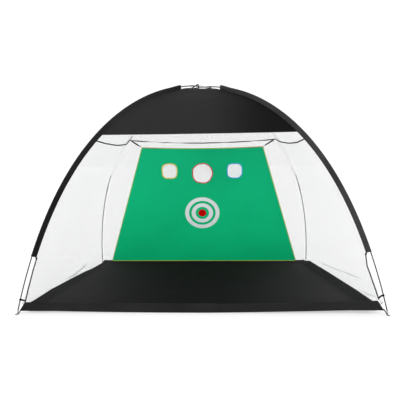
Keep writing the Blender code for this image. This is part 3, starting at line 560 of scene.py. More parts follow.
def floor_finish(name, base):
    """Pale studio floor, lit a little from beneath, so that shadows on it stay light."""
    finish = Finish(name, roughness=0.9)
    finish.set("Base Color", tuple(part * 0.50 for part in base))
    finish.set("Emission Color", tuple(base))
    finish.set("Emission Strength", 0.52)
    return finish.material


# ---------------------------------------------------------------- the bent poles


CURVE_STEPS = 500
# Places down a leg from the crossing, and how far inside its centreline the seam runs there.
SEAM_DEPTHS = {
    "front": ((0.0, 0.030), (0.20, 0.033), (0.90, 0.039), (2.30, 0.037)),
    "rear": ((0.0, 0.030),),
}


def between(table, place):
    """The value at a place in a table of places and values, in a straight line between them."""
    places, values = zip(*table)
    return float(np.interp(place, places, values))


class Leg:
    """One leg of a bent pole, measured down its centreline from the crossing."""

    def __init__(self, x, y, height, crown_handle, foot_back, foot_rise, depths):
        self.crossing = Vector((0.0, crossing_y(), 0.0))
        plan = Vector((x, y, 0.0)) - self.crossing
        span = plan.length
        self.outward = plan.normalized()
        self.across = UP.cross(self.outward)
        self.depths = depths
        t = np.linspace(0.0, 1.0, CURVE_STEPS)[:, None]
        ends = [(0.0, height), (crown_handle, height), (span - foot_back, foot_rise), (span, 0.0)]
        start, leave, arrive, foot = (np.array(end) for end in ends)
        s = 1.0 - t
        line = s**3 * start + 3 * s * s * t * leave + 3 * s * t * t * arrive + t**3 * foot
        steps = np.diff(line, axis=0)
        self.places = np.concatenate(([0.0], np.cumsum(np.linalg.norm(steps, axis=1))))
        self.length = self.places[-1]
        self.line = line
        slope = np.gradient(line, axis=0)
        slope /= np.linalg.norm(slope, axis=1)[:, None]
        self.normals = np.stack((-slope[:, 1], slope[:, 0]), axis=1)
        self.seam_heights = np.array([self.seam(place).z for place in self.places])

    def _read(self, table, distance):
        return [float(np.interp(distance, self.places, table[:, i])) for i in (0, 1)]

    def point(self, distance, inward=0.0, sideways=0.0):
        """A point on the leg, moved inward in its plane and sideways out of it."""
        reach, height = self._read(self.line, distance)
        out, up = self._read(self.normals, distance)
        place = self.crossing + self.outward * (reach - inward * out)
        return place + self.across * sideways + UP * (height - inward * up)

    def normal(self, distance):
        out, up = self._read(self.normals, distance)
        return (self.outward * out + UP * up).normalized()

    def depth(self, distance):
        """How far inside the centreline the cloth's seam runs."""
        return between(self.depths, distance)

    def seam(self, distance, beyond=0.0, sideways=0.0):
        return self.point(distance, self.depth(distance) + beyond, sideways)

    def at(self, height):
        """Distance down the leg to this height of its centreline."""
        return float(np.interp(-height, -self.line[:, 1], self.places))

    def seam_at(self, height):
        """Distance down the leg to this height of its seam."""
        return float(np.interp(-height, -self.seam_heights, self.places))


def crossing_y():
    poles = settings("net_poles")
    along = poles.front_x / (poles.front_x + poles.rear_x)
    return (2 * along - 1) * poles.half_depth


def make_leg(corner):
    poles = settings("net_poles")
    end, side = corner.split("_")
    sign = -1.0 if side == "left" else 1.0
    over = corner in ("front_left", "rear_right")
    lift = (poles.diameter / 2 + 0.00015) * (1.0 if over else -1.0)
    height = poles.crown_height + lift
    if end == "front":
        bend = (poles.front_crown_handle, poles.front_foot_back, poles.front_foot_rise)
        return Leg(sign * poles.front_x, -poles.half_depth, height, *bend, SEAM_DEPTHS[end])
    bend = (poles.rear_crown_handle, poles.rear_foot_back, poles.rear_foot_rise)
    return Leg(sign * poles.rear_x, poles.half_depth, height, *bend, SEAM_DEPTHS[end])


def legs():
    """The four legs by corner, worked out once for the sizes in use."""
    if not LEG_STORE:
        LEG_STORE.update({corner: make_leg(corner) for corner in CORNERS})
    return LEG_STORE


LEG_STORE = {}


class Pole:
    """A front leg and the opposite rear leg, measured from the front foot."""

    def __init__(self, side):
        other = "right" if side == "left" else "left"
        self.front = legs()[f"front_{side}"]
        self.rear = legs()[f"rear_{other}"]
        gap = settings("net_poles").foot_gap
        self.start = gap
        self.end = self.front.length + self.rear.length - gap

    def point(self, distance, radius, turn):
        inward = -radius * math.cos(turn)
        sideways = radius * math.sin(turn)
        if distance < self.front.length:
            return self.front.point(self.front.length - distance, inward, -sideways)
        return self.rear.point(distance - self.front.length, inward, sideways)


# ---------------------------------------------------------------- making meshes


WELD_GAP = 0.00002
SHARP_EDGE = math.radians(50.0)


def deselect():
    bpy.ops.object.select_all(action="DESELECT")


def make_grid(name, columns, rows, place, size):
    """A grid primitive moved to place(u, v), with its UV map in metres of cloth."""
    deselect()
    bpy.ops.mesh.primitive_grid_add(x_subdivisions=columns, y_subdivisions=rows, size=1.0)
    piece = bpy.context.object
    piece.name = name
    piece.data.name = name
    mesh = piece.data
    layer = mesh.uv_layers[0]
    layer.name = UV_NAME
    flat = np.empty(2 * len(layer.data), np.float32)
    layer.data.foreach_get("uv", flat)
    flat = flat.reshape(-1, 2) * np.array(size, np.float32)
    layer.data.foreach_set("uv", flat.ravel())
    for vertex in mesh.vertices:
        vertex.co = place(vertex.co.x + 0.5, vertex.co.y + 0.5)
    return piece


def edit(piece, action="SELECT"):
    """Opens a piece in edit mode, with all of it selected or none."""
    bpy.context.view_layer.objects.active = piece
    bpy.ops.object.mode_set(mode="EDIT")
    bpy.ops.mesh.select_all(action=action)


def weld(piece):
    """Joins a grid's meeting edges and points its faces outwards."""
    edit(piece)
    bpy.ops.mesh.remove_doubles(threshold=WELD_GAP)
    bpy.ops.mesh.normals_make_consistent(inside=False)
    bpy.ops.object.mode_set(mode="OBJECT")


def apply_modifier(piece, kind, **values):
    modifier = piece.modifiers.new(kind.title(), kind)
    for name, value in values.items():
        setattr(modifier, name, value)
    bpy.context.view_layer.objects.active = piece
    bpy.ops.object.modifier_apply(modifier=modifier.name)


def thicken(piece, thickness, offset=0.0):
    apply_modifier(piece, "SOLIDIFY", thickness=thickness, offset=offset, use_even_offset=True)


def smooth(piece):
    deselect()
    piece.select_set(True)
    bpy.context.view_layer.objects.active = piece
    bpy.ops.object.shade_smooth_by_angle(angle=SHARP_EDGE)


def done(piece, material, slot, nodes=(), body="root"):
    """Dresses a finished piece, hangs it on the body it rides on and hides the CAD nodes it stands for."""
    smooth(piece)
    piece.data.materials.clear()
    piece.data.materials.append(material)
    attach(piece, body)
    if nodes:
        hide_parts(*nodes)
    return piece


def ripple(x, y, seed, size):
    """Smooth noise from about -1 to 1, its blobs this many metres across."""
    return noise.noise(Vector((x / size, y / size, seed * 7.31)))


def eased(t):
    t = min(1.0, max(0.0, t))
    return t * t * (3 - 2 * t)


def make_tape(name, columns, edge, into, out, width, thickness, size):
    """A tape folded round an edge: edge(u), into(u) the cloth and out(u) of its face."""
    profile = [(1.0, 1.0), (0.5, 1.0), (0.06, 1.0), (0.0, 0.0), (0.06, -1.0), (0.5, -1.0), (1.0, -1.0)]
    last = len(profile) - 1
    half = thickness / 2

    def place(u, v):
        reach, side = profile[round(v * last)]
        return edge(u) + into(u) * (reach * width) + out(u) * (side * half)

    return make_grid(name, columns, last, place, size)


def make_tube(name, line, radius, sides=8, wave=0.0, seed=0.0):
    """A closed tube along a list of points, a little uneven where wave isn't 0.

    radius is a number, or a function of the share of the way along the points.
    """
    last = len(line) - 1
    runs = [(line[min(i + 1, last)] - line[max(i - 1, 0)]).normalized() for i in range(last + 1)]
    total = sum((b - a).length for a, b in zip(line, line[1:]))
    width = radius if callable(radius) else lambda share_along: radius

    def place(u, v):
        row = round(v * last)
        side = runs[row].cross(UP)
        if side.length < 0.2:
            side = runs[row].cross(Vector((0.0, 1.0, 0.0)))
        side.normalize()
        over = side.cross(runs[row])
        turn = 2 * math.pi * u
        uneven = 1.0 + wave * noise.noise(Vector((row * 0.37, math.cos(turn), seed + math.sin(turn))))
        closing = 0.6 if row in (0, last) else 1.0
        reach = width(row / last) * uneven * closing
        return line[row] + (side * math.cos(turn) + over * math.sin(turn)) * reach

    piece = make_grid(name, sides, last, place, (2 * math.pi * width(0.5), total))
    weld(piece)
    cap_ends(piece)
    return piece


def cap_ends(piece):
    """Fills the open ends of a welded tube."""
    edit(piece, "DESELECT")
    bpy.ops.mesh.select_mode(type="EDGE")
    bpy.ops.mesh.select_non_manifold()
    bpy.ops.mesh.edge_face_add()
    bpy.ops.mesh.select_all(action="SELECT")
    bpy.ops.mesh.normals_make_consistent(inside=False)
    bpy.ops.object.mode_set(mode="OBJECT")


# ---------------------------------------------------------------- poles and their ends


class NET_OT_poles(bpy.types.Operator):
    """Model the jointed pole sections with their ferrules"""

    bl_idname = "net.poles"
    bl_label = "Pole sections"

    def execute(self, context):
        poles = context.scene.net_poles
        material = fibre_finish("pole_fibre", tuple(context.scene.net_colours.fibre))
        for side in SIDES:
            pole = Pole(side)
            step = (pole.end - pole.start) / poles.sections
            for number in range(poles.sections):
                start = pole.start + number * step
                last = number == poles.sections - 1
                rows = section_rows(poles, start, start + step - 0.0006, last)
                piece = turned(f"{side}_rod_{number + 1}", pole, rows)
                done(piece, material, "pole_fibre", [f"{side}_pole_section_{number + 1}"])
        return {"FINISHED"}


def section_rows(poles, start, end, last):
    """Distance and radius round one section's wall, out along it and back down its bore."""
    outer = poles.diameter / 2
    ferrule = poles.ferrule / 2
    socket = outer + 0.0003
    ease = 0.0006
    if last:
        rows = stretch(start, end, outer)
    else:
        collar, mouth = end - poles.grip, end + poles.socket
        rows = stretch(start, collar, outer)
        rows += [(collar, outer), (collar, ferrule - ease), (collar + ease, ferrule)]
        rows += stretch(collar + ease, mouth - ease, ferrule)
        rows += [(mouth - ease, ferrule), (mouth, ferrule - ease / 2), (mouth, socket)]
        rows += stretch(mouth, end, socket)
    rows += [(end, poles.bore / 2)]
    rows += stretch(end, start, poles.bore / 2)
    return rows + [(start, poles.bore / 2), (start, outer)]


def stretch(start, end, radius, spacing=0.03):
    """Rows at even spacing from start up to, but not at, end."""
    count = max(1, round(abs(end - start) / spacing))
    return [(start + (end - start) * i / count, radius) for i in range(count)]


def turned(name, pole, rows, sides=14):
    """A round shape turned about the bent pole from its closed rows."""
    last = len(rows) - 1

    def place(u, v):
        distance, radius = rows[round(v * last)]
        return pole.point(distance, radius, 2 * math.pi * u)

    size = (math.pi * rows[0][1] * 2, rows[last // 2][0] - rows[0][0])
    piece = make_grid(name, sides, last, place, size)
    weld(piece)
    return piece


class NET_OT_pole_ends(bpy.types.Operator):
    """Finish the tips, eyelets, shock cords and toggles that the frame carries"""

    bl_idname = "net.pole_ends"
    bl_label = "Pole ends"

    def execute(self, context):
        colours = context.scene.net_colours
        tip = metal_finish("tip_metal", tuple(colours.metal))
        eyelet = metal_finish("eyelet_metal", tuple(colours.brass))
        elastic = braid_finish("elastic", tuple(colours.elastic))
        plastic = plastic_finish("toggle", tuple(colours.plastic))
        for corner in CORNERS:
            dress(f"{corner}_tip", tip)
            dress(f"{corner}_grommet", eyelet)
        for side in SIDES:
            cord = make_shock_cord(f"{side}_elastic", Pole(side))
            done(cord, elastic, "elastic", [f"{side}_shock_cord"])
            dress(f"{side}_toggle", plastic)
        return {"FINISHED"}


def make_shock_cord(name, pole):
    """The elastic cord along the middle of the pole's bore."""
    start, end, count = pole.start + 0.002, pole.end - 0.002, 160
    line = [pole.point(start + (end - start) * i / count, 0.0, 0.0) for i in range(count + 1)]
    return make_tube(name, line, 0.00125, sides=8)


def dress(node, material):
    """Gives a kept CAD node its finish."""
    piece = frame["nodes"][node]
    piece.data.materials.clear()
    piece.data.materials.append(material)


# ---------------------------------------------------------------- sleeves


class NET_OT_sleeves(bpy.types.Operator):
    """Sew the black front sleeves and the pale rear ones"""

    bl_idname = "net.sleeves"
    bl_label = "Sleeves"

    def execute(self, context):
        colours = context.scene.net_colours
        cloth = context.scene.net_cloth
        base = colours.cloth
        # Left sleeve: painted shade darkens it toward the ground, to 0.55 of the cloth's brightness.
        left = cloth_finish("left_sleeve", shaded(base, 0.95), shade=low_painted_shade, painted_shade_colour=shaded(base, 0.55))
        # Right sleeve: painted light, a copy of the cloth 2.1 times as bright with lighter streaks.
        right = cloth_finish("right_sleeve", shaded(base, 2.1), contrast=0.45)
        pale = cloth_finish("sleeve_pale", tuple(colours.pale), contrast=0.05)
        for index, corner in enumerate(CORNERS):
            leg = legs()[corner]
            front = corner.startswith("front")
            start = cloth.crown_opening if front else cloth.rear_opening
            end = sleeve_end(leg, cloth) if front else leg.at(cloth.rear_end)
            piece = make_sleeve(f"{corner}_casing", leg, start, end, cloth, index)
            black = left if corner.endswith("left") else right
            material, slot = (black, "black_cloth") if front else (pale, "white_cloth")
            done(piece, material, slot, [f"{corner}_sleeve"])
            flat = (sleeve_girth(leg, start, cloth), end - start)
        return {"FINISHED"}


def sleeve_end(leg, cloth):
    """Distance down a front leg to its sleeve's lower end, which is higher on the right."""
    raised = 0.024 if leg.outward.x > 0 else -0.010
    return leg.at(cloth.front_end + raised)


def sleeve_girth(leg, start, cloth):
    """Width of a sleeve's cut: out round the pole and back to the seam."""
    return 2 * (leg.depth(start + 0.5) + 2.2 * cloth.sleeve_radius)


def make_sleeve(name, leg, start, end, cloth, seed):
    """A teardrop tube: loose round the pole, its two sides sewn together on the inside."""
    columns, rows = 32, max(60, round((end - start) / 0.012))
    loose = 0.45
    open_end = 0.011 if name == "front_right_casing" else 0.007
    reach = math.radians(118)

    def place(u, v):
        w = 2 * u - 1
        side = math.copysign(1.0, w)
        point_down = 0.022 * eased((abs(w) - 0.80) / 0.20) * eased((v - 0.95) / 0.05)
        distance = start + (end - start) * v + point_down
        from_end = min(distance - start, end - distance)
        hem = 0.0008 * (1 - eased((from_end - 0.018) / 0.002))
        flare = open_end * (1 - eased((distance - start) / 0.12))
        radius = cloth.sleeve_radius + hem + flare
        depth = leg.depth(distance)
        if abs(w) <= loose:
            turn = reach * abs(w) / loose
            inward, sideways = -radius * math.cos(turn), radius * math.sin(turn)
        else:
            t = (abs(w) - loose) / (1 - loose)
            inward = -radius * math.cos(reach) * (1 - t) + depth * t
            flat = 0.0012 + hem * 0.5
            sideways = radius * math.sin(reach) * (1 - t) ** 1.4 + flat * min(1.0, t * 2)
            if t > 0.999:
                sideways = 0.0
        slack = math.sin(math.pi * min(1.0, abs(w) * 1.02)) * 0.0022
        pucker = ripple(distance, side * 0.3, seed, 0.035) + 0.6 * ripple(distance, side, seed + 5, 0.11)
        return leg.point(distance, inward, side * (sideways + slack * pucker * (abs(w) < 0.98)))

    flat = (sleeve_girth(leg, start, cloth), end - start)
    piece = make_grid(name, columns, rows, place, flat)
    weld(piece)
    thicken(piece, cloth.wall, offset=-1.0)
    return piece


# ---------------------------------------------------------------- corner webbing


class NET_OT_corners(bpy.types.Operator):
    """Make the tabs, straps and front edge tapes"""

    bl_idname = "net.corners"
    bl_label = "Corner webbing"

    def execute(self, context):
        cloth = context.scene.net_cloth
        webbing = webbing_finish("corner_webbing", tuple(context.scene.net_colours.webbing))
        for corner in CORNERS:
            leg = legs()[corner]
            piece = make_tab(f"{corner}_loop", leg)
            done(piece, webbing, "black_webbing", [f"{corner}_tab"])
        for corner in CORNERS[:2]:
            leg = legs()[corner]
            piece = make_strap(f"{corner}_lug", leg, cloth)
            done(piece, webbing, "black_webbing", [f"{corner}_strap"])
            piece = make_edge_tape(f"{corner}_edge_tape", leg, cloth)
            done(piece, webbing, "black_webbing", [f"{corner}_binding"])
        return {"FINISHED"}


def make_tab(name, leg):
    """A doubled webbing strip round the tip's eyelet, running in under the floor's corner."""
    foot = leg.point(leg.length)
    foot.z = 0.0
    corner = leg.seam(leg.seam_at(0.0))
    corner.z = 0.0
    inner = (foot - corner).length
    half, nose = 0.0125, 0.0025
    hole = 0.0057
    rise = mouth_rise(settings("net_cloth"), foot.x) if foot.y < 0 else 0.008
    lowest, thickness = 0.0011, 0.0010
    inward = -leg.outward

    def place(u, v):
        turn = 2 * math.pi * u
        rim = Vector((math.cos(turn), math.sin(turn))) * hole
        edge = tab_edge(turn, half, nose, inner)
        spot = rim.lerp(edge, v)
        wear = 0.0004 * ripple(spot.x, spot.y, 3, 0.012) * v
        climb = (0.010 + rise) * eased(spot.x / inner)
        height = lowest + thickness / 2 + wear + climb
        return foot + inward * spot.x + leg.across * spot.y + UP * height

    piece = make_grid(name, 48, 6, place, (0.08, 0.025))
    weld(piece)
    thicken(piece, thickness)
    apply_modifier(piece, "BEVEL", width=0.00025, segments=2, limit_method="ANGLE")
    return piece


def mouth_rise(cloth, x, edge=0.0):
    """How far the floor's front fold (edge 0) or the sill's top (edge 1) lifts, most at the ends."""
    out = min(1.0, abs(x) / HALF_MOUTH)
    if x > 0:
        low, high = cloth.right_rise * out**1.3, 0.9 * cloth.right_rise * out**1.8
    else:
        low, high = cloth.left_rise * out**2.2, 0.44 * cloth.left_rise * out**3
    return (low + 0.002) * (1 - edge) + high * edge


def mouth_bow(u):
    """How far the floor's front fold is drawn back between the two corners."""
    return 0.018 * min(1.0, 12 * u * (1 - u))


def tab_edge(turn, half, nose, inner):
    """A tab's outline seen from its eyelet: a round nose outside, a straight strip inside."""
    x, y = math.cos(turn), math.sin(turn)
    if x <= 0:
        reach = 1 / math.hypot(x / (half + nose), y / half)
    else:
        reach = strip_reach(x, y, inner, half)
    return Vector((x * reach, y * reach))


def strip_reach(x, y, long, half):
    """How far off a strip's outline is in one direction: its end, or its side at half its width."""
    nearly = 1e-6
    ahead = long / x if x > nearly else math.inf
    beside = half / abs(y) if abs(y) > nearly else math.inf
    return min(ahead, beside)


def make_strap(name, leg, cloth):
    """A webbing loop round the pole whose tail is sewn to the net's edge tape."""
    on_left = name.startswith("front_left")
    distance = leg.at(cloth.left_strap if on_left else cloth.right_strap)
    slant = 0.005 if on_left else 0.018
    radius = settings("net_poles").diameter / 2 + 0.0022
    tail = leg.depth(distance) + (-0.002 if on_left else 0.009)
    half = cloth.strap_width / 2 - 0.003
    turn_end = math.radians(166)
    last = 40

    def place(u, v):
        w = 2 * u - 1
        side = math.copysign(1.0, w)
        along = distance + (v - 0.5) * 2 * half
        if abs(w) < 0.5:
            turn = turn_end * abs(w) / 0.5
            inward, sideways = -radius * math.cos(turn), radius * math.sin(turn)
        else:
            t = (abs(w) - 0.5) / 0.5
            start = -radius * math.cos(turn_end)
            inward = start + (tail - start) * t
            sideways = radius * math.sin(turn_end) * (1 - t) + 0.0009
        fall = slant * eased((inward - radius) / (tail - radius))
        return leg.point(along + fall, inward, side * sideways)

    piece = make_grid(name, last, 8, place, (0.1, cloth.strap_width))
    thicken(piece, 0.0014)
    return piece


def make_edge_tape(name, leg, cloth):
    """The tape round the net's free front edge, from the sleeve down to the strap."""
    on_left = name.startswith("front_left")
    start = sleeve_end(leg, cloth) + 0.001
    strap = cloth.left_strap if on_left else cloth.right_strap
    end = leg.at(strap - cloth.strap_width) + (0.0 if on_left else 0.010)

    def edge(u):
        distance = start + (end - start) * u
        sway = 0.0012 * ripple(distance, 0.0, 11, 0.06)
        return leg.seam(distance, -0.001 + sway + edge_bow(leg, distance))

    def into(u):
        return -leg.normal(start + (end - start) * u)

    def out(u):
        return leg.across

    piece = make_tape(name, 60, edge, into, out, 0.009, 0.0030, (end - start, 0.018))
    thicken(piece, 0.0008, offset=1.0)
    return piece


def edge_bow(leg, distance):
    """How far the right side net's free edge sags inward from the straight line."""
    if leg.outward.x < 0 or leg.outward.y > 0:
        return 0.0
    free_edge, deepest, sag = 0.40, 0.28, 0.020
    down = (distance - sleeve_end(leg, settings("net_cloth"))) / free_edge
    if not 0 < down < 1:
        return 0.0
    return sag * (down / deepest if down < deepest else (1 - down) / (1 - deepest))


# ---------------------------------------------------------------- nets


SPANS = {
    "left": ("front_left", "rear_left"),
    "rear": ("rear_left", "rear_right"),
    "right": ("front_right", "rear_right"),
}
# A panel's sewn edge starts this far outside the seam, and this far to its own side of it.
SETBACK = -0.0030
SPREAD = 0.0013


def edge_point(leg, distance, toward):
    """Where a panel is sewn to a leg's seam, on its own side of the leg."""
    return leg.seam(distance, SETBACK, math.copysign(SPREAD, leg.across.dot(toward)))


def triangle(width, side):
    """Width, height and area of a panel cut as a triangle with two sides alike."""
    height = math.sqrt(side**2 - width**2 / 4)
    return width, height, width * height / 2


# Places along each eave, and the share of its droop there.
HANG = {
    "left": (
        (0, 0), (0.21, 0.48), (0.32, 0.65), (0.44, 0.82),
        (0.59, 1), (0.73, 0.95), (0.89, 0.86), (1, 0),
    ),
    "rear": ((0, 0), (0.1, 0.36), (0.3, 0.84), (0.5, 1), (0.7, 0.84), (0.9, 0.36), (1, 0)),
    "right": ((0, 0), (0.22, 0.66), (0.5, 0.84), (0.8, 0.6), (0.93, 0.32), (1, 0)),
}


class Span:
    """The stretch of net between two legs."""

    def __init__(self, side, cloth):
        first, second = SPANS[side]
        self.first = legs()[first]
        self.second = legs()[second]
        self.toward = self.second.point(self.second.length) - self.first.point(self.first.length)
        self.first_eave = self.eave(first, cloth)
        self.second_eave = self.eave(second, cloth)
        self.side = side
        self.droop = cloth.rear_droop if side == "rear" else cloth.side_droop
        centre = (self.first.point(self.first.length) + self.second.point(self.second.length)) / 2
        inside = (Vector((0.0, crossing_y(), 0.0)) - centre) * Vector((1, 1, 0))
        self.inside = inside.normalized()

    def eave(self, corner, cloth):
        height = cloth.front_eave if corner.startswith("front") else cloth.rear_eave
        return legs()[corner].seam_at(height)

    def across(self, first_distance, second_distance, u):
        near = edge_point(self.first, first_distance, self.toward)
        far = edge_point(self.second, second_distance, -self.toward)
        return near.lerp(far, u)

    def flat_roof(self):
        """Width, drop and area of the roof panel's cut, nearly a triangle."""
        width = (self.across(self.first_eave, self.second_eave, 1.0)
                 - self.across(self.first_eave, self.second_eave, 0.0)).length
        side = (self.first_eave + self.second_eave) / 2
        return triangle(width, side)

    def flat_wall(self):
        """Width, drop and area of the wall's cut, a trapezium."""
        ends = self.first.seam_at(SEAM_FOOT), self.second.seam_at(SEAM_FOOT)
        foot = (self.across(*ends, 1.0) - self.across(*ends, 0.0)).length
        eave = self.flat_roof()[0]
        drop = (sum(ends) - self.first_eave - self.second_eave) / 2
        return foot, drop, (foot + eave) / 2 * drop

    def cord_point(self, u):
        """The seam cord's drooping line."""
        line = self.across(self.first_eave, self.second_eave, u)
        return line - UP * self.drop(u)

    def drop(self, u):
        """How far the eave hangs below the straight line between its two legs."""
        near = [between(HANG[self.side], min(1.0, max(0.0, u + step))) for step in (-0.02, 0.0, 0.02)]
        ends = min(1.0, u / 0.02, (1 - u) / 0.02)
        return self.droop * sum(near) / 3 * ends


class NET_OT_roof_nets(bpy.types.Operator):
    """Hang the three roof nets between the legs"""

    bl_idname = "net.roof_nets"
    bl_label = "Roof nets"

    def execute(self, context):
        cloth = context.scene.net_cloth
        for index, side in enumerate(SPANS):
            # Painted shade: the rear roof net is given half the net's tone.
            tone = 0.5 if side == "rear" else 1.0
            material = net_material(f"{side}_roof_net", context, tone, tone)
            span = Span(side, cloth)
            piece = make_roof(f"{side}_roof_mesh", span, cloth, index)
            done(piece, material, "white_net", [f"{side}_roof_net"])
            width, drop, area = span.flat_roof()
        return {"FINISHED"}


def net_material(name, context, high, low):
    """A net's finish with its tone at the eaves and at the ground, as shares of the net's colour; shares
    below 1 are painted shade.
    """
    cell = context.scene.net_cloth.mesh_cell
    base = shaded(context.scene.net_colours.net, high)
    return net_finish(name, base, cell, 0.14, low=low / high)


def make_roof(name, span, cloth, seed):
    """A roof panel from the crown down to its seam cord, a little slack in its middle."""
    start = cloth.panel_start
    first_end = span.first_eave - 0.004
    second_end = span.second_eave - 0.004

    def place(u, v):
        point = span.across(start + (first_end - start) * v, start + (second_end - start) * v, u)
        drop = span.drop(u) * v * v
        inner = min(1.0, 8 * u * (1 - u)) * math.sin(math.pi * v)
        crease = ripple(u * 1.6, v * 0.9, seed, 0.30) + 0.5 * ripple(u * 1.6, v * 0.9, seed + 4, 0.11)
        return point - UP * (drop + 0.006 * crease * inner)

    return make_grid(name, 64, 48, place, (span.toward.length, span.first_eave))


class NET_OT_wall_nets(bpy.types.Operator):
    """Hang the three wall nets from the seam cords to the floor"""

    bl_idname = "net.wall_nets"
    bl_label = "Wall nets"

    def execute(self, context):
        cloth = context.scene.net_cloth
        # Painted shade: the rear wall net is darker, and every wall net darkens toward the ground.
        tones = {"left": (1.0, 0.5), "rear": (0.7, 0.45), "right": (1.0, 0.6)}
        for index, side in enumerate(SPANS):
            material = net_material(f"{side}_wall_net", context, *tones[side])
            span = Span(side, cloth)
            piece = make_wall(f"{side}_wall_mesh", span, cloth, index)
            done(piece, material, "white_net", [f"{side}_wall_net"])
            width, drop, area = span.flat_wall()
        return {"FINISHED"}


# Places from the mouth to the back, and the height of the floor's turned-up side there.
LIPS = {
    "left": ((0, 1.2), (0.12, 1.2), (0.28, 1.36), (0.45, 1.16), (0.68, 0.8), (0.8, 0.42), (1, 0.26)),
    "right": ((0, 0.97), (0.1, 1), (0.22, 1.14), (0.6, 1.16), (0.9, 1.1), (0.96, 0.6), (1, 0.5)),
}


def lip_height(cloth, side, depth_share):
    """Height of the floor's turned-up side, from the mouth (0) to the back (1)."""
    lip = cloth.left_lip if side == "left" else cloth.right_lip
    height = lip * between(LIPS[side], depth_share)
    height += (cloth.rear_lip + 0.001 - height) * eased((depth_share - 0.965) / 0.035)
    mouth = cloth.sill + mouth_rise(cloth, -HALF_MOUTH if side == "left" else HALF_MOUTH, 1.0)
    return height + (mouth - height) * math.exp(-depth_share / 0.018)


# Each pleat runs from one place and height to another, and slips down by its size.
PLEATS = {
    "left": ((0.33, 0.045, 0.72, 0.135, 0.045),),
    "rear": (),
    "right": ((0.09, 0.230, 0.74, 0.115, 0.034), (0.0, 0.130, 0.22, 0.070, 0.028)),
}


def pleat_shift(side, u, height):
    """How far the net slips down over itself at its pleats, and stands off there."""
    shift = stand = 0.0
    for start, first, end, second, size in PLEATS[side]:
        t = (u - start) / (end - start)
        if -0.2 < t < 1.2:
            middle_height = first + (second - first) * t
            fade = eased((t + 0.2) / 0.4) * eased((1.2 - t) / 0.4)
            gap = (height - middle_height) / (size * 0.55)
            shift += size * fade * math.exp(-gap * gap)
            stand += 0.010 * fade * math.exp(-gap * gap)
    return shift, stand


def make_wall(name, span, cloth, seed):
    """A wall of net from its seam cord down to the floor, with folds and pleats at its foot."""
    side = span.side
    folds = 0.0 if side == "rear" else cloth.net_fold
    first_end = span.first.seam_at(SEAM_FOOT)
    second_end = span.second.seam_at(SEAM_FOOT)
    first_start = span.first_eave + 0.004
    second_start = span.second_eave + 0.004

    def foot_height(u):
        return cloth.rear_lip if side == "rear" else lip_height(cloth, side, u)

    def place(u, v):
        down = 1 - (1 - v) ** 1.4
        near = first_start + (first_end - first_start) * down
        far = second_start + (second_end - second_start) * down
        point = span.across(near, far, u)
        drop = span.drop(u) * (1 - v) ** 2
        wave = math.sin(math.pi * 3 * u) ** 2 * v * v * folds
        inner = min(1.0, 10 * u * (1 - u))
        x, y = u * span.toward.length, v * 1.5
        crease = 0.0035 * ripple(x, y * 0.5, seed + 20, 0.26)
        slack = abs(ripple(x * 0.8 + y, y * 2.2 - x * 0.5, seed + 31, 0.15))
        low = 0.016 * slack * eased((v - 0.60) / 0.3) * eased((1 - v) / 0.05)
        raised = (foot_height(u) - 0.001) * v**7
        height = max(0.0, 1.38 * (1 - down) - foot_height(u))
        slip, stand = pleat_shift(side, u, height + foot_height(u))
        slip *= eased(height / 0.05)
        move = wave * eased((1 - v) / 0.06) + (crease * math.sin(math.pi * v) + low) * inner
        move += stand + edge_bow(span.first, near) * (1 - u) ** 6
        return point - UP * (drop - raised + slip) + span.inside * move

    return make_grid(name, 112, 120, place, (span.toward.length, 1.5))


class NET_OT_seam_cords(bpy.types.Operator):
    """Run the thin black cords along the eaves"""

    bl_idname = "net.seam_cords"
    bl_label = "Seam cords"

    def execute(self, context):
        cloth = context.scene.net_cloth
        webbing = webbing_finish("seam_webbing", tuple(context.scene.net_colours.webbing))
        for index, side in enumerate(SPANS):
            span = Span(side, cloth)
            steps = 72
            line = [span.cord_point(i / steps) for i in range(steps + 1)]
            for i, point in enumerate(line):
                point.z += 0.0018 * ripple(i * 0.02, 0.0, index + 40, 0.09) * math.sin(math.pi * i / steps)
            radius = rear_cord_radius if side == "rear" else cloth.cord / 2
            line[0] += (line[1] - line[0]).normalized() * 0.004
            line[-1] += (line[-2] - line[-1]).normalized() * 0.004
            piece = make_tube(f"{side}_cord", line, radius, sides=10, wave=0.25, seed=index)
            done(piece, webbing, "black_webbing", [f"{side}_seam_cord"])
        return {"FINISHED"}


# Shares of the rear cord's width at even steps from its left end to its right.
SHOWING = (
    0.7, 1.0, 0.9, 0.3, 0.3, 0.7, 0.4, 0.35, 0.9, 1.0, 1.0,
    1.0, 0.9, 0.5, 1.0, 1.0, 0.9, 0.5, 0.8, 1.0, 0.9,
)


def rear_cord_radius(u):
    """Half the width of the rear cord, which sinks into the net's fold in places."""
    showing = np.interp(u, np.linspace(0.0, 1.0, len(SHOWING)), SHOWING)
    return settings("net_cloth").cord / 2 * float(showing)


# ---------------------------------------------------------------- visor, crown and floor


class NET_OT_visor(bpy.types.Operator):
    """Sew the black visor and its hem"""

    bl_idname = "net.visor"
    bl_label = "Visor"

    def execute(self, context):
        cloth = context.scene.net_cloth
        colours = context.scene.net_colours
        base = tuple(colours.cloth)
        # Painted shade: the visor's cloth turns to a copy at 0.30 of its brightness toward the right.
        black = cloth_finish("visor_black", base, contrast=0.12, shade=right_painted_shade, painted_shade_colour=shaded(base, 0.30))
        piece = make_visor("visor_cloth", cloth)
        done(piece, black, "black_cloth", ["visor"])
        hem = make_hem(
            "visor_hem", cloth, visor_point, columns=120, inset=0.006, within=0.965, past=0.0006,
            width=cloth.hem, long=1.7,
        )
        done(hem, black, "black_cloth")
        side = legs()["front_left"].seam_at(cloth.visor_edge)
        width, drop, area = triangle((visor_point(cloth, 1, 1) - visor_point(cloth, 0, 1)).length, side)
        return {"FINISHED"}


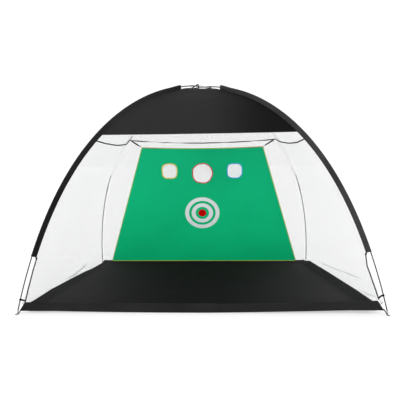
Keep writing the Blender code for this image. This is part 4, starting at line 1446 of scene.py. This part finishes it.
def visor_point(cloth, u, v):
    """A point of the visor, from the crown (v 0) to its hem (v 1)."""
    left, right = legs()["front_left"], legs()["front_right"]
    start = cloth.panel_start
    left_end = left.seam_at(cloth.visor_edge - cloth.visor_tilt)
    right_end = right.seam_at(cloth.visor_edge + cloth.visor_tilt)
    near = edge_point(left, start + (left_end - start) * v, RIGHT)
    far = edge_point(right, start + (right_end - start) * v, -RIGHT)
    slack = 4 * u * (1 - u)
    sag = cloth.visor_sag * slack * 4 * v * (1 - v)
    x = (u - 0.5) * 1.7
    pull = ripple(x * 0.5 + v * 0.7, v * 2.2, 50, 0.22) * 0.0035
    fold = abs(ripple(x * 0.4 - v * 0.5, v * 3.0 + x, 52, 0.30)) * 0.004
    calm = min(1.0, 9 * u * (1 - u)) * math.sin(math.pi * min(1.0, v * 1.05) ** 0.8)
    crown = 1 - (2 * u - 1) ** 14
    rise = -0.003 * slack * v**3 + 0.019 * crown * math.exp(-(((v - 0.16) / 0.11) ** 2))
    return near.lerp(far, u) + UP * (rise - sag + (pull - fold) * max(0.0, calm))


def make_visor(name, cloth):
    drop = legs()["front_left"].seam_at(cloth.visor_edge)
    piece = make_grid(name, 120, 80, lambda u, v: visor_point(cloth, u, v), (1.7, drop))
    thicken(piece, cloth.wall)
    return piece


def make_hem(name, cloth, point, columns, inset, within, past, width, long):
    """The folded hem along the edge (v 1) of a cloth whose points are point(cloth, u, v).

    It starts at the share inset from each end, points toward the row at within,
    and stands past the edge by that distance.
    """

    def into(u):
        return (point(cloth, u, within) - point(cloth, u, 1.0)).normalized()

    def out(u):
        return into(u).cross(RIGHT).normalized()

    def edge(u):
        spot = inset + (1 - 2 * inset) * u
        return point(cloth, spot, 1.0) - into(spot) * past

    piece = make_tape(name, columns, edge, into, out, width, 0.0018, (long, 2 * width))
    thicken(piece, 0.0006, offset=1.0)
    return piece


class NET_OT_crown(bpy.types.Operator):
    """Make the crown's patch and the tie over the crossing"""

    bl_idname = "net.crown"
    bl_label = "Crown"

    def execute(self, context):
        colours = context.scene.net_colours
        # Painted shade: the crown patch uses a copy of the black cloth at half its brightness.
        black = cloth_finish("crown_black", shaded(colours.cloth, 0.5))
        webbing = webbing_finish("crown_webbing", tuple(colours.webbing))
        patch = make_patch("crown_cap")
        done(patch, black, "black_cloth", ["crown_patch"])
        done(make_crown_tie("crown_lash"), webbing, "black_webbing", ["crown_tie"])
        done(make_knot("crown_knot"), webbing, "black_webbing")
        # Painted shade: the bunch under the poles uses a copy of the pale cloth at half its brightness.
        pale = cloth_finish("crown_pale", shaded(colours.pale, 0.5), contrast=0.30)
        bunch = make_crown_bunch("crown_bunch")
        done(bunch, pale, "white_cloth")
        return {"FINISHED"}


def make_patch(name):
    """The square of cloth that joins the four roof panels, edges turned under."""
    low, high = (Vector(corner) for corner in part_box("crown_patch"))
    size = high - low

    def place(u, v):
        edge = min(u, 1 - u, v, 1 - v)
        hem = 0.0005 * (1 - eased((edge - 0.10) / 0.03))
        dome = 0.0012 * math.sin(math.pi * u) * math.sin(math.pi * v)
        return Vector((low.x + size.x * u, low.y + size.y * v, low.z + size.z * 0.5 + hem - dome))

    piece = make_grid(name, 40, 28, place, (size.x, size.y))
    thicken(piece, 0.0010)
    return piece


def make_crown_tie(name):
    """A tape from the visor's edge, straight up over both poles and down behind them."""
    y = crossing_y()
    top = settings("net_poles").crown_height + 0.022
    base = visor_point(settings("net_cloth"), 0.5, 0.0).z
    path = [
        Vector((-0.088, y - 0.05, base + 0.002)),
        Vector((-0.074, y - 0.04, base + 0.012)),
        Vector((-0.045, y - 0.015, top - 0.012)),
        Vector((-0.031, y, top)),
        Vector((-0.024, y + 0.008, top - 0.005)),
        Vector((-0.0225, y + 0.004, base + 0.018)),
        Vector((-0.022, y, base + 0.004)),
    ]
    return make_tube(name, smoothed(path, 5), 0.0046, sides=8, wave=0.12, seed=3)


def make_crown_bunch(name):
    """The pale end of the net, gathered under the poles and tied off."""
    y = crossing_y() - 0.03
    base = visor_point(settings("net_cloth"), 0.5, 0.0).z
    path = [
        Vector((-0.012, y, base + 0.020)),
        Vector((0.030, y, base + 0.018)),
        Vector((0.062, y - 0.010, base + 0.011)),
        Vector((0.084, y - 0.02, base + 0.007)),
    ]
    return make_tube(name, smoothed(path, 6), 0.0075, sides=12, wave=0.8, seed=9)


def make_knot(name):
    """The overhand knot in the crown cord."""
    deselect()
    base = visor_point(settings("net_cloth"), 0.5, 0.0).z
    bpy.ops.mesh.primitive_torus_add(
        major_segments=20, minor_segments=10, major_radius=0.007, minor_radius=0.0045
    )
    knot = bpy.context.object
    knot.name = name
    knot.data.uv_layers[0].name = UV_NAME
    spot = Vector((0.094, crossing_y() - 0.05, base - 0.001))
    for vertex in knot.data.vertices:
        x, across, z = vertex.co
        turn = Vector((x * 2.2, z + 0.002 * math.sin(x * 400), across * 0.6 - x * 0.25))
        vertex.co = spot + turn
    weld(knot)
    return knot


def smoothed(points, steps):
    """Points eased through by a Catmull-Rom curve."""
    ends = [points[0] * 2 - points[1], *points, points[-1] * 2 - points[-2]]
    line = []
    for a, b, c, d in zip(ends, ends[1:], ends[2:], ends[3:]):
        for i in range(steps):
            t = i / steps
            bend = (b * 2 + (c - a) * t + (a * 2 - b * 5 + c * 4 - d) * t**2)
            line.append((bend + (b * 3 - a - c * 3 + d) * t**3) / 2)
    return [*line, points[-1]]


class NET_OT_floor(bpy.types.Operator):
    """Lay the black floor with its turned-up sides and stand its sill up"""

    bl_idname = "net.floor"
    bl_label = "Floor and sill"

    def execute(self, context):
        cloth = context.scene.net_cloth
        colours = context.scene.net_colours
        # The floor's sides take a copy of the cloth 1.5 times as bright as painted sheen, and its middle a
        # near-black tone as painted shade.
        sheen_painted_side_tone, shaded_middle_tone = shaded(colours.cloth, 1.5), (0.0085, 0.0075, 0.0082)
        black = cloth_finish(
            "floor_black", sheen_painted_side_tone, rough=0.85, contrast=0.12, shade=floor_painted_shade, painted_shade_colour=shaded_middle_tone
        )
        piece = make_floor_cloth("floor_cloth", cloth)
        done(piece, black, "black_cloth", ["floor_sheet"])
        # Painted shade: the sill uses a copy of the cloth at 0.85 of its brightness.
        sill_black = cloth_finish("sill_black", shaded(colours.cloth, 0.85))
        sill = make_sill("sill_cloth", cloth)
        done(sill, sill_black, "black_cloth", ["front_sill"])
        hem = make_hem(
            "sill_hem", cloth, sill_point, columns=220, inset=0.002, within=0.8, past=0.0004,
            width=0.014, long=2.9,
        )
        done(hem, sill_black, "black_cloth")
        return {"FINISHED"}


def floor_corner(corner):
    leg = legs()[corner]
    point = leg.seam(leg.seam_at(SEAM_FOOT))
    point.z = 0.0
    return point


def make_floor_cloth(name, cloth):
    """One cloth: flat in the middle, its two sides turned up against the nets."""
    corners = {corner: floor_corner(corner) for corner in CORNERS}
    columns = 96
    lip_columns = 5
    lip = lip_columns / columns
    slope = 0.019

    def place(u, v):
        left = corners["front_left"].lerp(corners["rear_left"], v)
        right = corners["front_right"].lerp(corners["rear_right"], v)
        across = min(1.0, max(0.0, (u - lip) / (1 - 2 * lip)))
        turned_up = max(0.0, lip - min(u, 1 - u)) / lip
        spread = across * (1 - 2 * slope) + slope
        spread += math.copysign(slope * turned_up, u - 0.5)
        point = left.lerp(right, spread)
        by_mouth, by_back = 1 - eased(v / 0.22), eased((v - 0.985) / 0.015)
        point.y += mouth_bow(spread) * by_mouth
        base = max(cloth.rear_lip * by_back, mouth_rise(cloth, point.x) * by_mouth)
        top = lip_height(cloth, "left" if u < 0.5 else "right", v)
        height = base + max(0.003, top - base) * turned_up
        inner = eased(min(across, 1 - across) * 12) * eased(min(v * 14, (1 - v) * 7))
        swell = 0.5 + 0.5 * ripple(point.x * 0.7, point.y * 1.4, 60, 0.35)
        fold = abs(ripple(point.x + point.y * 0.4, point.y * 1.8, 64, 0.24))
        lean_in = math.copysign(0.003, 0.5 - u) * math.sin(math.pi * turned_up) if turned_up else 0.0
        lift = (0.004 * swell + 0.005 * fold) * inner + height
        return point + Vector((lean_in, 0.0, lift + 0.0001))

    piece = make_grid(name, columns, 72, place, (2.92, 1.48))
    thicken(piece, 0.0007, offset=1.0)
    return piece


def sill_point(cloth, u, v):
    """A point of the sill, from the ground (v 0) to its top edge (v 1)."""
    left, right = legs()["front_left"], legs()["front_right"]
    height = SEAM_FOOT + (cloth.sill - SEAM_FOOT) * v
    reach = RIGHT * (0.018 * (1 - v) - 0.006 * v)
    near = edge_point(left, left.seam_at(height), RIGHT) - reach
    far = edge_point(right, right.seam_at(height), -RIGHT) + reach - RIGHT * (0.013 + 0.006 * v)
    x = (u - 0.5) * 2.9
    calm = min(1.0, 12 * u * (1 - u))
    wave = 0.004 * v * (1 - math.cos(2 * math.pi * 7 * u)) / 2
    pucker = (0.0035 * ripple(x, v * 0.1, 70, 0.16) + 0.0020 * ripple(x, v * 0.2, 71, 0.05)) * v
    dip = 0.006 * v * abs(ripple(x * 0.6, 0.0, 73, 0.35))
    spot = near.lerp(far, u)
    rise = mouth_rise(cloth, spot.x, v)
    back = mouth_bow(u) * (1 - v)
    return spot + Vector((0.0, wave + pucker * calm + back, rise - dip * calm))


def make_sill(name, cloth):
    piece = make_grid(name, 220, 12, lambda u, v: sill_point(cloth, u, v), (2.9, 0.075))
    thicken(piece, cloth.wall)
    return piece


# ---------------------------------------------------------------- target


class Plane:
    """The leaning plane of the target: x across, v up the slope, forward to the mouth."""

    def __init__(self):
        lean = settings("net_target").lean
        self.up = Vector((0.0, -math.sin(lean), math.cos(lean)))
        self.forward = Vector((0.0, -math.cos(lean), -math.sin(lean)))

    def point(self, x, v, forward=0.0):
        return HINGE + RIGHT * x + self.up * v + self.forward * forward


def rounded(points, radius, steps=5):
    """A closed outline with each real corner eased over the radius."""
    eased_points = []
    for before, corner, after in zip(points[-1:] + points[:-1], points, points[1:] + points[:1]):
        here = Vector(corner)
        back = (Vector(before) - here).normalized()
        ahead = (Vector(after) - here).normalized()
        if back.dot(ahead) < -0.9:
            eased_points.append(here)
            continue
        start, end = here + back * radius, here + ahead * radius
        for i in range(steps + 1):
            t = i / steps
            eased_points.append(start.lerp(here, t).lerp(here.lerp(end, t), t))
    return eased_points


def target_outline(target, inset, steps=24):
    """Outline of the sheet in its plane, moved in from the piping's line."""
    half_bottom, half_top = target.bottom / 2, target.top / 2
    slant = (half_bottom - half_top) / target.slope
    side = inset * math.hypot(1.0, slant)
    foot = inset + target.foot
    bottom = half_bottom - side - slant * foot
    top = half_top - side + slant * inset
    points = [(-bottom, foot), (bottom, foot)]
    for i in range(steps + 1):
        u = 1 - 2 * i / steps
        points.append((top * u, target.slope - inset - target.dip * (1 - u * u)))
    return rounded(points, target.corner - inset)


# Each rim's colour and slot, and how square and how uneven its sewn outline is, and where.
POCKETS = {
    "left": ("yellow", "yellow_rim", 2.9, 0.010, 0.4),
    "centre": ("red", "red_rim", 2.15, 0.014, 1.1),
    "right": ("blue", "blue_rim", 3.0, 0.008, 2.3),
}


def pocket_place(target, side):
    """Middle and outer radius of a pocket."""
    if side == "centre":
        return (0.0, target.centre_height), target.centre_radius
    across = -target.spacing / 2 if side == "left" else target.spacing / 2 - 0.008
    return (across, target.side_height), target.side_radius


def pocket_reach(side, radius, turn):
    """Radius of a pocket's slightly squared, hand-sewn outline in one direction."""
    _, _, power, wobble, seed = POCKETS[side]
    square = (abs(math.cos(turn)) ** power + abs(math.sin(turn)) ** power) ** (-1 / power)
    middle_reach = (2 ** (0.5 - 1 / power) + 1) / 2
    uneven = wobble * math.sin(5 * turn + seed) + wobble * 0.6 * math.sin(9 * turn + 2 * seed)
    return radius * square / middle_reach * (1 + uneven)


class NET_OT_target_sheet(bpy.types.Operator):
    """Cut, print and pipe the target sheet"""

    bl_idname = "net.target_sheet"
    bl_label = "Target sheet"

    def execute(self, context):
        target = context.scene.net_target
        colours = context.scene.net_colours
        plane = Plane()
        piece = make_target_cloth("target_cloth", plane, target)
        material = target_finish("target_green", colours, target)
        done(piece, material, "target_green", ["target_sheet"], body="target")
        outline = [plane.point(*spot) for spot in target_outline(target, 0.0)]
        piping = make_ring_tube("target_tape", outline, target.piping / 2)
        tape = piping_finish("piping", colours, max(point.z for point in outline))
        done(piping, tape, "piping", ["target_piping"], body="target")
        return {"FINISHED"}


def make_target_cloth(name, plane, target):
    """The sheet, a little slack between its ties, cut to its outline and pocket holes."""
    width = target.bottom + 0.04
    tall = target.slope + 0.04

    def place(u, v):
        x = (u - 0.5) * width
        rise = (v - 0.5) * tall + target.slope / 2
        half = target.bottom / 2 + (target.top - target.bottom) / 2 * rise / target.slope
        calm = eased((half - abs(x)) / 0.12) * eased(rise / 0.12) * eased((target.slope - rise) / 0.12)
        for side in POCKETS:
            centre, radius = pocket_place(target, side)
            calm *= eased((math.hypot(x - centre[0], rise - centre[1]) - radius) / 0.08)
        billow = 0.007 * ripple(x * 0.7, rise, 80, 0.55) + 0.0022 * ripple(x, rise * 0.6, 81, 0.14)
        return plane.point(x, rise, billow * calm)

    piece = make_grid(name, 150, 100, place, (width, tall))
    layer = piece.data.uv_layers[UV_NAME]
    for corner in layer.data:
        corner.uv.x -= width / 2
        corner.uv.y -= (tall - target.slope) / 2
    thicken(piece, 0.0010)
    cutter = make_cutter("sheet_outline", plane, target)
    apply_modifier(piece, "BOOLEAN", object=cutter, operation="INTERSECT", solver="MANIFOLD")
    bpy.data.objects.remove(cutter, do_unlink=True)
    return piece


def make_cutter(name, plane, target):
    """A thick plate with the sheet's outline and its pocket holes."""
    outlines = [target_outline(target, target.piping / 2 + 0.0003)]
    for side in POCKETS:
        centre, radius = pocket_place(target, side)
        ring = []
        for i in range(72):
            turn = 2 * math.pi * i / 72
            reach = pocket_reach(side, radius, turn) - 0.001
            ring.append((centre[0] + reach * math.cos(turn), centre[1] + reach * math.sin(turn)))
        outlines.append(ring)
    curve = bpy.data.curves.new(name, "CURVE")
    curve.dimensions = "2D"
    curve.fill_mode = "BOTH"
    curve.extrude = 0.03
    for outline in outlines:
        spline = curve.splines.new("POLY")
        spline.points.add(len(outline) - 1)
        for point, (x, v) in zip(spline.points, outline):
            point.co = (x, v, 0.0, 1.0)
        spline.use_cyclic_u = True
    plate = bpy.data.objects.new(name, curve)
    axes = Matrix((RIGHT, plane.up, -plane.up.cross(RIGHT)))
    plate.matrix_world = Matrix.Translation(HINGE) @ axes.transposed().to_4x4()
    bpy.context.collection.objects.link(plate)
    deselect()
    plate.select_set(True)
    bpy.context.view_layer.objects.active = plate
    bpy.ops.object.convert(target="MESH")
    bpy.ops.object.transform_apply(location=True, rotation=True, scale=True)
    weld(plate)
    return plate


def make_ring_tube(name, outline, radius, sides=10):
    """A closed tube along a closed outline."""
    count = len(outline)
    total = sum((outline[i] - outline[i - 1]).length for i in range(count))
    centre = sum(outline, Vector()) / count

    def place(u, v):
        row = round(v * count) % count
        run = (outline[(row + 1) % count] - outline[row - 1]).normalized()
        out = outline[row] - centre
        side = (out - run * out.dot(run)).normalized()
        over = run.cross(side)
        turn = 2 * math.pi * u
        uneven = 1 + 0.08 * noise.noise(outline[row] * 40 + side * turn)
        return outline[row] + (side * math.cos(turn) + over * math.sin(turn)) * (radius * uneven)

    piece = make_grid(name, sides, count, place, (2 * math.pi * radius, total))
    weld(piece)
    return piece


class NET_OT_pockets(bpy.types.Operator):
    """Sew the three padded rims and their net bags"""

    bl_idname = "net.pockets"
    bl_label = "Ball pockets"

    def execute(self, context):
        target = context.scene.net_target
        colours = context.scene.net_colours
        plane = Plane()
        bag = net_finish("pocket_net", tuple(colours.pocket), 0.004, 0.15)
        for side, (paint, slot, *_) in POCKETS.items():
            centre, radius = pocket_place(target, side)
            rim = make_rim(f"{side}_rim", plane, side, centre, radius, target)
            cover = rim_finish(slot, tuple(getattr(colours, paint)))
            done(rim, cover, slot, [f"{side}_pocket_rim"], "target")
            net = make_bag(f"{side}_bag", plane, side, centre, radius, target)
            done(net, bag, "white_net", [f"{side}_pocket_net"], "target")
            across = 2 * radius + target.pocket_depth
            across * across * 0.7
        return {"FINISHED"}


def make_rim(name, plane, side, centre, radius, target):
    """A padded hoop, its cover gathered into small puckers."""
    count, sides = 96, 14

    def place(u, v):
        turn = 2 * math.pi * v
        roll = 2 * math.pi * u
        gather = 1 + 0.10 * math.sin(turn * 34 + 2 * math.sin(turn * 3)) * 0.5
        tube = target.rim * gather * 0.94
        reach = pocket_reach(side, radius, turn) - target.rim + tube * math.cos(roll)
        x = centre[0] + reach * math.cos(turn)
        rise = centre[1] + reach * math.sin(turn)
        return plane.point(x, rise, tube * math.sin(roll))

    size = (2 * math.pi * target.rim, 2 * math.pi * radius)
    piece = make_grid(name, sides, count, place, size)
    weld(piece)
    return piece


def make_bag(name, plane, side, centre, radius, target):
    """The shallow net bag behind a rim, sagging toward the ground."""

    def place(u, v):
        turn = 2 * math.pi * u
        slope = math.pi / 2 * v * 0.985
        start = target.rim * 0.55
        depth = start + (target.pocket_depth - start) * math.sin(slope)
        drop = target.pocket_sag * math.sin(slope) ** 2
        reach = (pocket_reach(side, radius, turn) - target.rim) * math.cos(slope)
        pleat = 1 + 0.02 * math.sin(turn * 16) * math.sin(2 * slope)
        x = centre[0] + reach * pleat * math.cos(turn)
        rise = centre[1] + reach * pleat * math.sin(turn) - drop
        return plane.point(x, rise, -depth)

    piece = make_grid(name, 64, 20, place, (2 * math.pi * radius * 0.6, 0.15))
    weld(piece)
    close_bottom(piece, plane, centre, target)
    return piece


def close_bottom(piece, plane, centre, target):
    """Closes the small hole at the bottom of a bag and leaves its mouth open."""
    bottom = plane.point(centre[0], centre[1] - target.pocket_sag, -target.pocket_depth)
    edit(piece, "DESELECT")
    bpy.ops.mesh.select_mode(type="VERT")
    bpy.ops.object.mode_set(mode="OBJECT")
    for vertex in piece.data.vertices:
        vertex.select = (vertex.co - bottom).length < 0.006
    bpy.ops.object.mode_set(mode="EDIT")
    bpy.ops.mesh.merge(type="CENTER")
    bpy.ops.object.mode_set(mode="OBJECT")


class NET_OT_target_ties(bpy.types.Operator):
    """Make the straps that hold the sheet's top corners to the toggles"""

    bl_idname = "net.target_ties"
    bl_label = "Target ties"

    def execute(self, context):
        target = context.scene.net_target
        webbing = webbing_finish("tie_webbing", tuple(context.scene.net_colours.webbing))
        plane = Plane()
        for side, sign in zip(SIDES, (-1.0, 1.0)):
            piece = make_strap_tie(f"{side}_strap_tie", plane, side, sign, target)
            done(piece, webbing, "black_webbing", [f"{side}_target_tie"], body="target")
        done(make_tie_tail("left_tie_tail"), webbing, "black_webbing")
        return {"FINISHED"}


def make_tie_tail(name):
    """The spare end of the left toggle's cord, lying up the sleeve behind it."""
    toggle = middle("left_toggle")
    leg = legs()["rear_left"]
    line = [toggle + Vector((0.0, 0.002, 0.004))]
    for step in range(1, 9):
        point = leg.seam(leg.seam_at(toggle.z + 0.007 * step), 0.0)
        line.append(point + Vector((0.002, -0.006, 0.0)))
    return make_tube(name, line, 0.0032, sides=8, wave=0.15, seed=2)


def make_strap_tie(name, plane, side, sign, target):
    """A strap with a worked eye at its outer end, sewn to the sheet's corner."""
    toggle = middle(f"{side}_toggle")
    away = (toggle - HINGE).dot(plane.forward)
    eye = toggle - plane.forward * away
    corner = plane.point(sign * target.top / 2, target.slope)
    run = corner - eye
    tail = run.length + 0.006
    run.normalize()
    side_way = plane.forward.cross(run).normalized()
    half, hole = target.tie_width / 2, 0.0037

    def place(u, v):
        turn = 2 * math.pi * u
        x, y = math.cos(turn), math.sin(turn)
        if x <= 0:
            edge = Vector((x * (half + 0.003), y * half))
        else:
            edge = Vector((x, y)) * strip_reach(x, y, tail, half)
        spot = Vector((x * hole, y * hole)).lerp(edge, v)
        return eye + run * spot.x + side_way * spot.y

    piece = make_grid(name, 64, 5, place, (0.1, target.tie_width))
    weld(piece)
    thicken(piece, 0.0022)
    return piece


# ---------------------------------------------------------------- studio


class NET_OT_stage(bpy.types.Operator):
    """Lay the pale floor and set the soft lights and the camera"""

    bl_idname = "net.stage"
    bl_label = "Studio"

    def execute(self, context):
        stage = context.scene.net_stage
        make_floor_plane(stage, context.scene.net_colours)
        make_lights(stage)
        make_camera(stage)
        context.scene.view_settings.view_transform = "Standard"
        return {"FINISHED"}


def make_floor_plane(stage, colours):
    deselect()
    bpy.ops.mesh.primitive_plane_add(size=stage.floor_size, location=(0.0, 0.0, -0.001))
    floor = bpy.context.object
    floor.name = "studio_floor"
    floor.data.materials.append(floor_finish("studio_floor", colours.floor))


def make_lights(stage):
    world = bpy.data.worlds.new("studio")
    bpy.context.scene.world = world
    world.use_nodes = True
    sky = world.node_tree.nodes["Background"]
    sky.inputs["Color"].default_value = (1.0, 1.0, 1.0, 1.0)
    sky.inputs["Strength"].default_value = stage.sky
    lamps = {
        "key_light": (Vector((-3.2, -4.2, 4.6)), 4.0, stage.key),
        "side_light": (Vector((5.0, -1.0, 3.6)), 3.5, stage.fill),
    }
    for name, (place, size, power) in lamps.items():
        bpy.ops.object.light_add(type="AREA", location=place)
        lamp = bpy.context.object
        lamp.name = name
        lamp.data.size = size
        lamp.data.energy = power
        lamp.rotation_euler = (Vector((0.0, 0.0, 0.8)) - place).to_track_quat("-Z", "Y").to_euler()


def make_camera(stage):
    place = (stage.camera_x, stage.camera_y, stage.camera_z)
    tilt = Matrix.Rotation(math.pi / 2 - stage.camera_pitch, 3, "X")
    roll = Matrix.Rotation(stage.camera_roll, 3, "Z")
    turn = Matrix.Rotation(stage.camera_yaw, 3, "Z") @ tilt @ roll
    bpy.ops.object.camera_add(location=place, rotation=turn.to_euler())
    camera = bpy.context.object
    camera.name = "photo_camera"
    camera.data.sensor_width = 36.0
    camera.data.lens = stage.lens
    camera.data.clip_start = 0.05
    camera.data.clip_end = 200.0
    bpy.context.scene.camera = camera


# ---------------------------------------------------------------- panel and running


OPERATORS = (
    NET_OT_poles,
    NET_OT_pole_ends,
    NET_OT_sleeves,
    NET_OT_corners,
    NET_OT_roof_nets,
    NET_OT_wall_nets,
    NET_OT_seam_cords,
    NET_OT_visor,
    NET_OT_crown,
    NET_OT_floor,
    NET_OT_target_sheet,
    NET_OT_pockets,
    NET_OT_target_ties,
    NET_OT_stage,
)


class NET_PT_panel(bpy.types.Panel):
    """The net's pieces and sizes"""

    bl_idname = "NET_PT_panel"
    bl_label = "Chipping net"
    bl_space_type = "VIEW_3D"
    bl_region_type = "UI"
    bl_category = "Chipping net"

    def draw(self, context):
        for operator in OPERATORS:
            self.layout.operator(operator.bl_idname)
        for name, group in GROUPS.items():
            column = self.layout.column(align=True)
            column.label(text=group.__doc__)
            for prop in group.__annotations__:
                column.prop(getattr(context.scene, name), prop)


CLASSES = (*GROUPS.values(), *OPERATORS, NET_PT_panel)


def register():
    for cls in CLASSES:
        bpy.utils.register_class(cls)
    for name, group in GROUPS.items():
        setattr(bpy.types.Scene, name, PointerProperty(type=group))


def unregister():
    for name in GROUPS:
        delattr(bpy.types.Scene, name)
    for cls in reversed(CLASSES):
        bpy.utils.unregister_class(cls)


def main():
    register()
    for operator in OPERATORS:
        category, name = operator.bl_idname.split(".")
        getattr(getattr(bpy.ops, category), name)()


if __name__ == "__main__":
    main()
